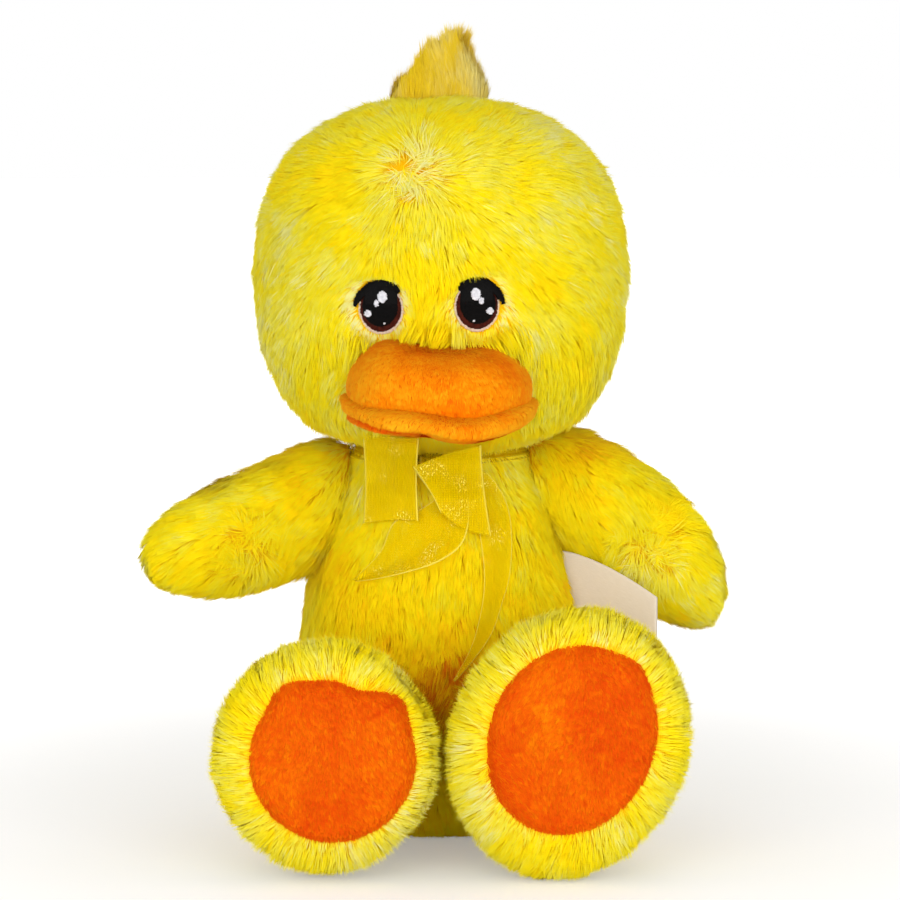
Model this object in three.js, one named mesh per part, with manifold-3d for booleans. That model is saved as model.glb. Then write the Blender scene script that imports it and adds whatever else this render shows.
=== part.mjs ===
import * as THREE from 'three';
import { mergeVertices } from 'three/addons/utils/BufferGeometryUtils.js';
import Module from 'manifold-3d';

// A seated plush duck: sewn pile-cloth covers over stuffing, an orange bill and soles, a crest of
// long pile, a sheer ribbon tied round the neck and a sewn-in label. Millimetres and degrees, Z up,
// the seat at the origin. The duck faces -Y, so its right side is at -X and its left side at +X.
const wasm = await Module();
wasm.setup();

// Cloth thicknesses and the clearances that every sewn piece shares
const coverWall = 2.4;
const billWall = 1.6;
const seatGap = 0.35;
const flatCutDepth = 0.5;
const overrunLength = 20;
const weldWidth = 0.0005;

// Body: a pear that sits on its flat bottom
const bodyHeight = 192;
const bodyHalfWidth = 58;
const bodyHalfDepth = 56;
const bodyCentreY = 2;

// Head: a full round form that overlaps the top of the body and stands a little forward of it
const headHeight = 147;
const headHalfWidth = 76.5;
const headHalfDepth = 71;
const headCentreY = -12;
const headOverlapHeight = 24;
const neckOpeningRadius = 20;
const neckPivotHeight = 2;
const nodBackAngle = 8;
const nodForwardAngle = 2;

// Wings: stuffed lobes of one pattern, hanging and turned differently on the two sides
const rightWingLength = 106;
const leftWingLength = 110;
const wingHalfThickness = 23;
const wingHalfDepth = 20;
const wingRootDepth = 14;
const wingRaiseAngle = 20;
const wingLowerAngle = 10;
const rightWingDroopAngle = 18.5;
const rightWingForwardAngle = 24;
const rightWingSagDepth = 3;
const rightShoulderDepth = 19;
const leftWingDroopAngle = 37;
const leftWingForwardAngle = 4;
const leftWingSagDepth = -7;
const leftShoulderDepth = 14.5;

// Legs: stout tubes that swell to the feet, soles to the front
const legLength = 116;
const legRootDepth = 16;
const legRaiseAngle = 12;
const legLowerAngle = 8;
const hipZ = 40;
const hipPivotDepth = 10;
const rightHipX = -34;
const rightFootX = -47;
const rightFootHalfWidth = 43;
const rightFootHalfHeight = 45.2;
const rightFootLeanDepth = 0;
const leftHipX = 37;
const leftFootX = 52.6;
const leftFootHalfWidth = 46;
const leftFootHalfHeight = 53.4;
const leftFootLeanDepth = 5.5;
const rightFootLiftHeight = 5.4;
const leftFootLiftHeight = 1.8;
const underFootNarrowShare = 0.17;

// Soles: short-pile discs let into the ends of the feet
const rightSoleWidth = 67.5;
const rightSoleHeight = 67;
const rightSoleOffsetX = 3.2;
const rightSoleOffsetZ = 1.7;
const leftSoleWidth = 69;
const leftSoleHeight = 78;
const leftSoleOffsetX = 0.8;
const leftSoleOffsetZ = 5.6;

// Bill: a domed upper half over a flat lip, both short pile, sunk into the face
const billCentreX = -0.5;
const billSunkDepth = 5;
const upperBillOffsetZ = 34;
const upperBillHalfWidth = 38;
const upperBillHalfHeight = 17;
const upperBillLength = 42;
const lowerBillOffsetZ = 20.5;
const lowerBillHalfWidth = 40;
const lowerBillHalfHeight = 8.5;
const lowerBillLength = 45;

// Eyes: flat embroidered patches on the face
const eyeThickness = 1.1;
const eyeHeight = 21.8;
const rightEyeX = -25.2;
const rightEyeOffsetZ = 67;
const rightEyeWidth = 18.5;
const leftEyeX = 16.3;
const leftEyeOffsetZ = 68;
const leftEyeWidth = 20;

// Crest: a tuft of long pile sewn into the crown seam
const crestHeight = 48;
const crestStandHeight = 35;
const crestHalfWidth = 23;
const crestHalfDepth = 12;
const crestOffsetY = 2;
const crestOffsetX = 5;

// Tail: a small upturned stuffed point at the back
const tailLength = 42;
const tailHalfWidth = 20;
const tailHalfHeight = 15;
const tailSunkDepth = 16;
const tailZ = 60;
const tailTipHeight = 24;

// Ribbon: one sheer strip tied in a bow under the chin
const ribbonWidth = 24;
const ribbonThickness = 0.5;
const bandHeight = 7;
const bandThickness = 1;
const bandTiltAngle = 2;
const knotWidth = 13;
const knotHeight = 12;
const knotDepth = 9;
const knotX = -3;
const knotDropHeight = 5.5;
const loopOffsetX = 6;
const loopOffsetY = 8.6;
const loopDepth = 8;
const rightLoopLength = 32;
const rightLoopLeanAngle = 26;
const leftLoopLength = 33;
const leftLoopLeanAngle = 24;
const loopEndAngle = 26;
const rightTailWidth = 18;
const rightTailOffsetY = 2.2;
const rightTailSideLength = 36;
const rightTailDropHeight = 46;
const leftTailWidth = 13;
const leftTailOffsetY = 3.2;
const leftTailSideLength = 24;
const leftTailDropHeight = 84;

// Label: a folded satin tag in the left side seam
const labelLength = 50;
const labelHeight = 27;
const labelThickness = 0.5;
const labelY = -14;
const labelZ = 111;
const labelTipOffsetY = -21;
const labelTipOffsetZ = -17;

// Where the head, and what hangs from the neck, sit on the body
const headBottomZ = bodyHeight - headOverlapHeight;
const neckPivotZ = headBottomZ + neckPivotHeight;
const knotZ = headBottomZ - knotDropHeight;

// Facets of each kind of surface, round it and along it
const bodyFacets = { around: 30, along: 20 };
const bodyLiningFacets = { around: 16, along: 12 };
const headFacets = { around: 36, along: 24 };
const headLiningFacets = { around: 20, along: 13 };
const wingFacets = { around: 22, along: 15 };
const wingLiningFacets = { around: 14, along: 9 };
const legFacets = { around: 26, along: 18 };
const legLiningFacets = { around: 16, along: 10 };
const billFacets = { around: 24, along: 12 };
const billLiningFacets = { around: 16, along: 9 };
const smallFacets = { around: 18, along: 12 };
const smallLiningFacets = { around: 12, along: 8 };
const sweepSteps = 4;

const xAxis = new THREE.Vector3(1, 0, 0);
const yAxis = new THREE.Vector3(0, 1, 0);
const { clamp, degToRad, lerp, mapLinear } = THREE.MathUtils;

// A geometry with shared vertices only, which grows, shrinks and turns solid without tearing
function welded(geometry) {
  const bare = geometry.clone();
  bare.deleteAttribute('normal');
  bare.deleteAttribute('uv');
  const merged = mergeVertices(bare, weldWidth);
  const from = merged.index.array;
  const kept = [];
  for (let i = 0; i < from.length; i += 3) {
    const [a, b, c] = [from[i], from[i + 1], from[i + 2]];
    if (a !== b && b !== c && c !== a) kept.push(a, b, c);
  }
  merged.setIndex(kept);
  return merged;
}

// The smooth outline through stations of [height share, radius share], closed on the axis
function profileOf(stations, steps) {
  const curve = new THREE.SplineCurve(stations.map(([height, radius]) => new THREE.Vector2(radius, height)));
  const profile = curve.getSpacedPoints(steps);
  profile[0].x = 0;
  profile[steps].x = 0;
  return profile;
}

// A round form along Z from such an outline, whose centre can drift sideways by [x, y]
function turned(stations, height, halfX, halfY, facets, drift = () => [0, 0]) {
  const geometry = welded(new THREE.LatheGeometry(profileOf(stations, facets.along), facets.around));
  geometry.rotateX(Math.PI / 2);
  const place = geometry.attributes.position;
  for (let i = 0; i < place.count; i += 1) {
    const share = place.getZ(i);
    const [shiftX, shiftY] = drift(share);
    place.setXYZ(i, place.getX(i) * halfX + shiftX, place.getY(i) * halfY + shiftY, share * height);
  }
  return geometry;
}

// The same form with its surface moved out by a distance, or in by a negative one
function grown(form, distance) {
  const copy = form.clone();
  copy.computeVertexNormals();
  const place = copy.attributes.position;
  const normal = copy.attributes.normal;
  for (let i = 0; i < place.count; i += 1) {
    place.setXYZ(
      i,
      place.getX(i) + normal.getX(i) * distance,
      place.getY(i) + normal.getY(i) * distance,
      place.getZ(i) + normal.getZ(i) * distance,
    );
  }
  copy.deleteAttribute('normal');
  return copy;
}

function solidOf(geometry) {
  const form = geometry.attributes.normal ? welded(geometry) : geometry;
  const mesh = new wasm.Mesh({
    numProp: 3,
    vertProperties: new Float32Array(form.attributes.position.array),
    triVerts: new Uint32Array(form.index.array),
  });
  return new wasm.Manifold(mesh);
}

function geometryOf(solid) {
  const mesh = solid.getMesh();
  const geometry = new THREE.BufferGeometry();
  geometry.setAttribute('position', new THREE.BufferAttribute(new Float32Array(mesh.vertProperties), 3));
  geometry.setIndex(new THREE.BufferAttribute(new Uint32Array(mesh.triVerts), 1));
  geometry.computeVertexNormals();
  return geometry;
}

// All the room that a form takes while it turns about an axis through a point
function swept(form, pivot, axis, fromAngle, toAngle) {
  let room = null;
  for (let step = 0; step <= sweepSteps; step += 1) {
    const angle = degToRad(lerp(fromAngle, toAngle, step / sweepSteps));
    const copy = form.clone();
    copy.translate(-pivot.x, -pivot.y, -pivot.z);
    copy.applyMatrix4(new THREE.Matrix4().makeRotationAxis(axis, angle));
    copy.translate(pivot.x, pivot.y, pivot.z);
    room = room ? room.add(solidOf(copy)) : solidOf(copy);
  }
  return room;
}

// An elliptic bar along Y, for cutting outlines that face the front
function frontBar(width, height, x, z, fromY, toY) {
  const geometry = new THREE.CylinderGeometry(1, 1, 1, legFacets.around);
  geometry.scale(width / 2, toY - fromY, height / 2);
  geometry.translate(x, (fromY + toY) / 2, z);
  return solidOf(geometry);
}

// The half space below the surface that the toy sits on
function floorBlock() {
  const reach = (bodyHeight + legLength) * 2;
  const geometry = new THREE.BoxGeometry(reach, reach, overrunLength);
  geometry.translate(0, 0, -overrunLength / 2);
  return solidOf(geometry);
}

const yellowPile = { color: 0xf6d816, roughness: 0.95 };
const orangePile = { color: 0xf07a0a, roughness: 0.9 };
const crestPile = { color: 0xd9bc20, roughness: 0.95 };
const thread = { color: 0x1a1410, roughness: 0.5 };
const fibre = { color: 0xf4f2ea, roughness: 1 };
const organza = { color: 0xe0bc10, roughness: 0.4 };
const satin = { color: 0xf3efe4, roughness: 0.6 };
const group = new THREE.Group();
group.name = 'plush_duck';

function addPiece(name, solid, look) {
  const mesh = new THREE.Mesh(geometryOf(solid), new THREE.MeshStandardMaterial({ ...look, metalness: 0 }));
  mesh.name = name;
  group.add(mesh);
}

// Body form, also read by the limbs, the ribbon, the label and the tail that are fitted to it
const bodyShares = [
  [0, 0], [0.006, 0.36], [0.03, 0.64], [0.09, 0.84], [0.2, 0.97], [0.34, 1], [0.48, 0.965],
  [0.62, 0.875], [0.74, 0.785], [0.83, 0.69], [0.9, 0.6], [0.96, 0.4], [0.99, 0.2], [1, 0],
];
const bodyReadingSteps = 120;
const bodyProfile = profileOf(bodyShares, bodyReadingSteps);
function bodyForm(facets) {
  const form = turned(bodyShares, bodyHeight, bodyHalfWidth, bodyHalfDepth, facets);
  form.translate(0, bodyCentreY, -flatCutDepth);
  return form;
}
function bodyRadiusShareAt(z) {
  const height = clamp((z + flatCutDepth) / bodyHeight, 0, 1);
  const above = Math.max(1, bodyProfile.findIndex((point) => point.y >= height));
  const [low, high] = [bodyProfile[above - 1], bodyProfile[above]];
  return mapLinear(height, low.y, high.y, low.x, high.x);
}
function bodyFrontAt(x, z) {
  const share = bodyRadiusShareAt(z);
  const acrossShare = Math.min(Math.abs(x) / (bodyHalfWidth * share), 0.98);
  return bodyCentreY - bodyHalfDepth * share * Math.sqrt(1 - acrossShare * acrossShare);
}
const bodyOuter = bodyForm(bodyFacets);
const bodyLining = bodyForm(bodyLiningFacets);
const bodySeat = solidOf(grown(bodyOuter, seatGap));

// Head form, and the room it takes as it nods
const headShares = [
  [0, 0], [0.012, 0.3], [0.05, 0.56], [0.12, 0.76], [0.21, 0.88], [0.33, 0.965], [0.47, 0.992],
  [0.6, 0.984], [0.72, 0.936], [0.82, 0.84], [0.9, 0.69], [0.96, 0.48], [0.99, 0.25], [1, 0],
];
function headForm(facets) {
  const form = turned(headShares, headHeight, headHalfWidth, headHalfDepth, facets);
  form.translate(0, headCentreY, headBottomZ);
  return form;
}
const headOuter = headForm(headFacets);
const headLining = headForm(headLiningFacets);
const headSeat = solidOf(grown(headOuter, seatGap));
const neckPivot = new THREE.Vector3(0, 0, neckPivotZ);
const headRoom = swept(grown(headOuter, seatGap), neckPivot, xAxis, -nodBackAngle, nodForwardAngle);
const liningRoom = swept(grown(headLining, seatGap + coverWall), neckPivot, xAxis, -nodBackAngle, nodForwardAngle);

// The hole through which both covers are open to each other at the neck
function neckOpening() {
  const geometry = new THREE.CylinderGeometry(neckOpeningRadius, neckOpeningRadius, overrunLength * 2, smallFacets.around);
  geometry.rotateX(Math.PI / 2);
  geometry.translate(0, 0, neckPivotZ);
  return solidOf(geometry);
}

// Body cover and stuffing: hollowed under the head, open at the neck, flat underneath
const bodyHollow = solidOf(grown(bodyLining, -coverWall)).subtract(liningRoom);
const bodyCover = solidOf(bodyOuter).subtract(floorBlock()).subtract(headRoom).subtract(bodyHollow);
addPiece('body_cover', bodyCover.subtract(neckOpening()), yellowPile);
addPiece('body_stuffing', solidOf(grown(bodyLining, -coverWall - seatGap)).subtract(liningRoom), fibre);

// Head cover and stuffing
const headCover = solidOf(headOuter).subtract(solidOf(grown(headLining, -coverWall)));
addPiece('head_cover', headCover.subtract(neckOpening()), yellowPile);
addPiece('head_stuffing', solidOf(grown(headLining, -coverWall - seatGap)), fibre);

// Bill: a domed upper half and a lip below it, both cut to the face that they are sewn to
function billForm(halfWidth, halfHeight, length, offsetZ, facets) {
  const form = welded(new THREE.SphereGeometry(1, facets.around, facets.along));
  form.rotateX(Math.PI / 2);
  form.scale(halfWidth, length, halfHeight);
  form.translate(billCentreX, headCentreY - headHalfDepth + billSunkDepth, headBottomZ + offsetZ);
  return form;
}
function upperBillForm(facets) {
  return billForm(upperBillHalfWidth, upperBillHalfHeight, upperBillLength, upperBillOffsetZ, facets);
}
function lowerBillForm(facets) {
  return billForm(lowerBillHalfWidth, lowerBillHalfHeight, lowerBillLength, lowerBillOffsetZ, facets);
}
const upperBill = upperBillForm(billFacets);
const upperBillLining = upperBillForm(billLiningFacets);
const upperBillCover = solidOf(upperBill).subtract(solidOf(grown(upperBillLining, -billWall)));
addPiece('bill_upper_cover', upperBillCover.subtract(headSeat), orangePile);
addPiece('bill_upper_stuffing', solidOf(grown(upperBillLining, -billWall - seatGap)).subtract(headSeat), fibre);
const lipTop = solidOf(grown(upperBill, seatGap));
const lipHollow = solidOf(grown(lowerBillForm(billLiningFacets), -billWall))
  .subtract(solidOf(grown(upperBill, seatGap + billWall)));
const lowerBillCover = solidOf(lowerBillForm(billFacets)).subtract(lipTop).subtract(lipHollow);
addPiece('bill_lower_cover', lowerBillCover.subtract(headSeat), orangePile);

// Eyes: thin patches that follow the face
const faceSkin = solidOf(grown(headOuter, seatGap + eyeThickness)).subtract(headSeat);
function eyePatch(width, x, z) {
  return faceSkin.intersect(frontBar(width, eyeHeight, x, z, headCentreY - headHalfDepth * 2, headCentreY));
}
addPiece('eye_right', eyePatch(rightEyeWidth, rightEyeX, headBottomZ + rightEyeOffsetZ), thread);
addPiece('eye_left', eyePatch(leftEyeWidth, leftEyeX, headBottomZ + leftEyeOffsetZ), thread);

// Crest: a flattened tuft that leans to the left as it rises, seated on the crown
const crestShares = [
  [0, 0], [0.01, 0.6], [0.12, 0.9], [0.3, 1], [0.45, 0.94], [0.6, 0.84], [0.74, 0.68],
  [0.86, 0.54], [0.95, 0.37], [0.985, 0.2], [1, 0],
];
function crest() {
  const form = turned(
    crestShares, crestHeight, crestHalfWidth, crestHalfDepth, smallFacets,
    (share) => [crestOffsetX * (share - 0.25), 0],
  );
  form.translate(0, headCentreY + crestOffsetY, headBottomZ + headHeight + crestStandHeight - crestHeight);
  return solidOf(form).subtract(headSeat);
}
addPiece('crest', crest(), crestPile);

// Ribbon band: a gathered sleeve round the neck. The extra gives the room that it takes up
function bandRoom(extra) {
  const slab = new THREE.BoxGeometry(bodyHalfWidth * 4, bodyHalfDepth * 4, bandHeight + extra * 2);
  slab.rotateX(degToRad(-bandTiltAngle));
  slab.translate(0, 0, headBottomZ);
  return solidOf(grown(bodyOuter, seatGap + bandThickness + extra)).intersect(solidOf(slab));
}
addPiece('ribbon_band', bandRoom(0).subtract(bodySeat).subtract(headRoom), organza);

// Wings: cut by the body and the band through their whole swing, so the sewn root stays open
const wingShares = [
  [0, 0], [0.012, 0.45], [0.045, 0.72], [0.11, 0.88], [0.21, 0.96], [0.36, 1], [0.52, 0.99],
  [0.67, 0.93], [0.8, 0.81], [0.9, 0.62], [0.96, 0.42], [0.99, 0.22], [1, 0],
];
function wingForm(side, wing, shoulder, facets) {
  const form = turned(
    wingShares, wing.length, wingHalfThickness, wingHalfDepth, facets,
    (share) => [side * wing.sag * Math.sin(Math.PI * share), 0],
  );
  form.translate(0, 0, -wingRootDepth);
  form.rotateY(side * Math.PI / 2);
  form.rotateY(side * degToRad(wing.droop));
  form.rotateZ(-side * degToRad(wing.forward));
  form.translate(shoulder.x, shoulder.y, shoulder.z);
  return form;
}
function addWing(name, side, wing) {
  const shoulderZ = headBottomZ - wing.shoulderDepth;
  const shoulder = new THREE.Vector3(side * bodyHalfWidth * bodyRadiusShareAt(shoulderZ), bodyCentreY, shoulderZ);
  const axis = yAxis.clone().multiplyScalar(-side);
  const nearBody = swept(grown(bodyOuter, seatGap), shoulder, axis, -wingRaiseAngle, wingLowerAngle);
  const nearBand = swept(geometryOf(bandRoom(seatGap * 2)), shoulder, axis, -wingRaiseAngle, wingLowerAngle);
  const room = nearBody.add(nearBand);
  const outer = solidOf(wingForm(side, wing, shoulder, wingFacets));
  const lining = wingForm(side, wing, shoulder, wingLiningFacets);
  addPiece(`${name}_cover`, outer.subtract(solidOf(grown(lining, -coverWall))).subtract(room), yellowPile);
  addPiece(`${name}_stuffing`, solidOf(grown(lining, -coverWall - seatGap)).subtract(room), fibre);
}
addWing('wing_right', -1, {
  length: rightWingLength, droop: rightWingDroopAngle, forward: rightWingForwardAngle,
  sag: rightWingSagDepth, shoulderDepth: rightShoulderDepth,
});
addWing('wing_left', 1, {
  length: leftWingLength, droop: leftWingDroopAngle, forward: leftWingForwardAngle,
  sag: leftWingSagDepth, shoulderDepth: leftShoulderDepth,
});

// Legs: each swells from the hip to the foot, and the sole closes the open front of its cover
const legShares = [
  [0, 0], [0.012, 0.36], [0.05, 0.6], [0.14, 0.74], [0.3, 0.79], [0.48, 0.83], [0.66, 0.93],
  [0.8, 1], [0.89, 0.975], [0.945, 0.88], [0.975, 0.7], [0.992, 0.4], [1, 0],
];
const footShare = 0.8;
const soleCutShare = 0.2;
const legRootY = bodyCentreY - legRootDepth;
const legFrontY = legRootY - legLength;
function footCentreZ(foot) {
  return foot.halfHeight - flatCutDepth + foot.liftHeight;
}
function legForm(foot, facets) {
  const form = turned(legShares, legLength, foot.halfWidth, foot.halfHeight, facets);
  const place = form.attributes.position;
  for (let i = 0; i < place.count; i += 1) {
    const towardsFoot = Math.min(place.getZ(i) / legLength / footShare, 1);
    const upShare = place.getY(i) / foot.halfHeight;
    const narrow = 1 - underFootNarrowShare * towardsFoot * Math.min(upShare, 0) ** 2;
    const leanX = foot.leanDepth * towardsFoot * upShare;
    place.setX(i, place.getX(i) * narrow + leanX + lerp(foot.hipX, foot.x, towardsFoot));
    place.setY(i, place.getY(i) + lerp(hipZ, footCentreZ(foot), towardsFoot));
  }
  form.rotateX(Math.PI / 2);
  form.translate(0, legRootY, 0);
  return form;
}
function addLeg(name, foot, sole) {
  const hip = new THREE.Vector3(foot.hipX, bodyCentreY - bodyHalfDepth + hipPivotDepth, hipZ);
  const axis = xAxis.clone().negate();
  const room = swept(grown(bodyOuter, seatGap), hip, axis, -legRaiseAngle, legLowerAngle);
  const lining = legForm(foot, legLiningFacets);
  const wall = solidOf(legForm(foot, legFacets)).subtract(solidOf(grown(lining, -coverWall)));
  const soleX = foot.x + sole.offsetX;
  const soleZ = footCentreZ(foot) + sole.offsetZ;
  const frontY = legFrontY - overrunLength;
  const backY = legFrontY + legLength * soleCutShare;
  const opening = frontBar(sole.width, sole.height, soleX, soleZ, frontY, backY);
  const disc = frontBar(sole.width - seatGap * 2, sole.height - seatGap * 2, soleX, soleZ, frontY, backY);
  addPiece(`${name}_cover`, wall.subtract(opening).subtract(room).subtract(floorBlock()), yellowPile);
  addPiece(`${name}_stuffing`, solidOf(grown(lining, -coverWall - seatGap)).subtract(room), fibre);
  addPiece(`${name}_sole`, wall.intersect(disc), orangePile);
}
addLeg('leg_right', {
  hipX: rightHipX, x: rightFootX, halfWidth: rightFootHalfWidth, halfHeight: rightFootHalfHeight,
  leanDepth: rightFootLeanDepth, liftHeight: rightFootLiftHeight,
}, {
  width: rightSoleWidth, height: rightSoleHeight, offsetX: rightSoleOffsetX, offsetZ: rightSoleOffsetZ,
});
addLeg('leg_left', {
  hipX: leftHipX, x: leftFootX, halfWidth: leftFootHalfWidth, halfHeight: leftFootHalfHeight,
  leanDepth: leftFootLeanDepth, liftHeight: leftFootLiftHeight,
}, {
  width: leftSoleWidth, height: leftSoleHeight, offsetX: leftSoleOffsetX, offsetZ: leftSoleOffsetZ,
});

// Tail: a small stuffed point that curves up, cut to the back that it is sewn to
const tailShares = [
  [0, 0], [0.02, 0.6], [0.12, 0.92], [0.35, 1], [0.62, 0.74], [0.85, 0.4], [0.97, 0.16], [1, 0],
];
function tailForm(facets) {
  const form = turned(
    tailShares, tailLength, tailHalfWidth, tailHalfHeight, facets,
    (share) => [0, -tailTipHeight * share * share],
  );
  form.rotateX(-Math.PI / 2);
  form.translate(0, bodyCentreY + bodyHalfDepth - tailSunkDepth, tailZ);
  return form;
}
const tailLining = tailForm(smallLiningFacets);
const tailCover = solidOf(tailForm(smallFacets)).subtract(solidOf(grown(tailLining, -coverWall)));
addPiece('tail_cover', tailCover.subtract(bodySeat), yellowPile);
addPiece('tail_stuffing', solidOf(grown(tailLining, -coverWall - seatGap)).subtract(bodySeat), fibre);

// A thin strip: placeAt gives a point for a share across (-0.5 to 0.5) and a share along (0 to 1)
const nudgeShare = 0.01;
function strip(placeAt, thickness, acrossSteps, alongSteps) {
  const geometry = welded(new THREE.BoxGeometry(1, 1, 1, acrossSteps, alongSteps, 1));
  const place = geometry.attributes.position;
  for (let i = 0; i < place.count; i += 1) {
    const across = place.getX(i);
    const along = place.getY(i) + 0.5;
    const side = placeAt(across + nudgeShare, along).sub(placeAt(across - nudgeShare, along));
    const ahead = placeAt(across, along + nudgeShare).sub(placeAt(across, along - nudgeShare));
    const normal = side.cross(ahead).normalize();
    const point = placeAt(across, along).addScaledVector(normal, place.getZ(i) * thickness);
    place.setXYZ(i, point.x, point.y, point.z);
  }
  return solidOf(geometry);
}

// Ribbon bow: a knot on the front of the band, two hanging loops and two tails on the chest
const knotSunkShare = 0.3;
const gatherShare = 0.45;
function knotForm(extra) {
  const geometry = new THREE.SphereGeometry(1, smallFacets.around, smallFacets.along);
  geometry.scale(knotWidth / 2 + extra, knotDepth / 2 + extra, knotHeight / 2 + extra);
  const y = bodyFrontAt(knotX, knotZ) - seatGap - bandThickness - knotDepth * knotSunkShare;
  geometry.translate(knotX, y, knotZ);
  return solidOf(geometry);
}
const knotSeat = knotForm(seatGap);
const overBand = solidOf(grown(bodyOuter, seatGap * 2 + bandThickness));
addPiece('ribbon_knot', knotForm(0).subtract(overBand), organza);

// A hanging loop: its two layers leave the knot together and part towards the fold
function loopStrip(side, leanAngle, length) {
  const lean = degToRad(leanAngle);
  const down = new THREE.Vector2(side * Math.sin(lean), -Math.cos(lean));
  const endTurn = degToRad(loopEndAngle);
  return strip((across, along) => {
    const turn = lerp(endTurn, Math.PI * 2 - endTurn, along);
    const reach = length * (1 - Math.cos(turn)) / 2;
    const breadth = ribbonWidth * across * lerp(gatherShare, 1, Math.sin(turn / 2));
    const x = knotX + side * loopOffsetX + down.x * reach - down.y * breadth;
    const z = knotZ + down.y * reach + down.x * breadth;
    return new THREE.Vector3(x, bodyFrontAt(x, z) - loopOffsetY - loopDepth * Math.sin(turn) / 2, z);
  }, ribbonThickness, 2, 22).subtract(knotSeat);
}
addPiece('ribbon_loop_right', loopStrip(-1, rightLoopLeanAngle, rightLoopLength), organza);
addPiece('ribbon_loop_left', loopStrip(1, leftLoopLeanAngle, leftLoopLength), organza);

// A tail: a strip along a curve on the chest, gathered at the knot and tapered to its cut end
const rightTailShares = [[0.05, 0.1], [0.2, 0.36], [0.12, 0.62], [-0.35, 0.8], [-1, 1]];
const leftTailShares = [[0.1, 0.02], [0.62, 0.03], [1, 0.25], [0.92, 0.5], [0.5, 0.78], [0.2, 1]];
const gatheredShare = 0.33;
const taperedShare = 0.25;
function tailStrip(shares, tail, alongSteps) {
  const route = shares.map(([x, z]) => new THREE.Vector2(knotX + x * tail.side, knotZ - z * tail.drop));
  const curve = new THREE.SplineCurve(route);
  return strip((across, along) => {
    const share = clamp(along, 0, 1);
    const centre = curve.getPoint(share);
    const ahead = curve.getTangent(share);
    centre.addScaledVector(ahead, (along - share) * ribbonWidth);
    const taper = lerp(tail.tipShare, 1, Math.min(1, (1 - share) / taperedShare));
    const breadth = tail.width * across * taper * lerp(gatherShare, 1, Math.min(1, share / gatheredShare));
    const x = centre.x + ahead.y * breadth;
    const z = centre.y - ahead.x * breadth;
    return new THREE.Vector3(x, bodyFrontAt(x, z) - tail.offsetY, z);
  }, ribbonThickness, 2, alongSteps).subtract(knotSeat);
}
addPiece('ribbon_tail_right', tailStrip(rightTailShares, {
  side: rightTailSideLength, drop: rightTailDropHeight, width: rightTailWidth, offsetY: rightTailOffsetY, tipShare: 0.3,
}, 18), organza);
addPiece('ribbon_tail_left', tailStrip(leftTailShares, {
  side: leftTailSideLength, drop: leftTailDropHeight, width: leftTailWidth, offsetY: leftTailOffsetY, tipShare: 0.2,
}, 26), organza);

// Label: a bare folded tag that stands out of the side seam in front of the left wing
const labelRootShare = 0.82;
function labelStrip() {
  const rootX = bodyHalfWidth * bodyRadiusShareAt(labelZ) * labelRootShare;
  return strip((across, along) => new THREE.Vector3(
    rootX + labelLength * along,
    labelY + labelTipOffsetY * along,
    labelZ + labelHeight * across + labelTipOffsetZ * along * along,
  ), labelThickness, 2, 10).subtract(bodySeat);
}
addPiece('label', labelStrip(), satin);

export default group;
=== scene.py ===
"""A seated plush duck: long yellow pile over a stuffed body, head, wings, legs and tail, with a short-pile
orange bill and soles, embroidered eyes, a sheer ribbon bow and a bare side label. It faces -Y."""

import math

import bmesh
import bpy
import numpy as np
from mathutils import Matrix, Vector
from mathutils.bvhtree import BVHTree
from mathutils.kdtree import KDTree


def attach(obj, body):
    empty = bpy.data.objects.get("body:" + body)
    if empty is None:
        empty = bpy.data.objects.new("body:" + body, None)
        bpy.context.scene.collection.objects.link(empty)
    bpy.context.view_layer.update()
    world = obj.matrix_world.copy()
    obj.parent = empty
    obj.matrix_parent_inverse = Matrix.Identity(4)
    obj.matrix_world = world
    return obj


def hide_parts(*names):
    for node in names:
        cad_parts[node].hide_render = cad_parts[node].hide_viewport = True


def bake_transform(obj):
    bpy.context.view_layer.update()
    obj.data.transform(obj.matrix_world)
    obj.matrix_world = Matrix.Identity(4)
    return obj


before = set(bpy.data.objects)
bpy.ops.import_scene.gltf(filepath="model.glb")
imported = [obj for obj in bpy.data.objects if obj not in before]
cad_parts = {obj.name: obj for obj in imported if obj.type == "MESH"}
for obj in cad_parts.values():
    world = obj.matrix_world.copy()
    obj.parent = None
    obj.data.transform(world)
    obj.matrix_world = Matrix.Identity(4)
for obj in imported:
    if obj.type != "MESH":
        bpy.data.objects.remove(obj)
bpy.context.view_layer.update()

# Camera: the photograph's view, six degrees above level and 1.6 m in front of the toy, with a long lens.
camera = bpy.data.objects.new("camera", bpy.data.cameras.new("camera"))
bpy.context.scene.collection.objects.link(camera)
bpy.context.scene.camera = camera
view_rise = math.radians(6)
view_aim = Vector((0.004, -0.020, 0.1675))
view_distance = 1.6
camera.location = view_aim + view_distance * Vector((0, -math.cos(view_rise), math.sin(view_rise)))
camera.rotation_euler = (math.pi / 2 - view_rise, 0, 0)
camera.data.sensor_width = 36
camera.data.lens = 148.2
view_pixels = 900
view_focus = camera.data.lens / camera.data.sensor_width * view_pixels


def seen_at(across, down, skin):
    """The point of a skin, in millimetres, that the photograph's pixel across and down falls on."""
    ray = Vector(((across - view_pixels / 2) / view_focus, (view_pixels / 2 - down) / view_focus, -1))
    ray = camera.rotation_euler.to_matrix() @ ray
    tree = BVHTree.FromPolygons([v.co for v in skin.data.vertices], [p.vertices for p in skin.data.polygons])
    return np.array(tree.ray_cast(camera.location, ray.normalized())[0]) * 1000


# Studio: a white paper floor that fades into a white sky, two large soft lamps in front and a weak one above.
def tint(code):
    """An sRGB hex colour as the linear colour that the shaders take."""
    parts = [int(code[k : k + 2], 16) / 255 for k in (1, 3, 5)]
    return (*[c / 12.92 if c <= 0.04045 else ((c + 0.055) / 1.055) ** 2.4 for c in parts], 1)


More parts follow.
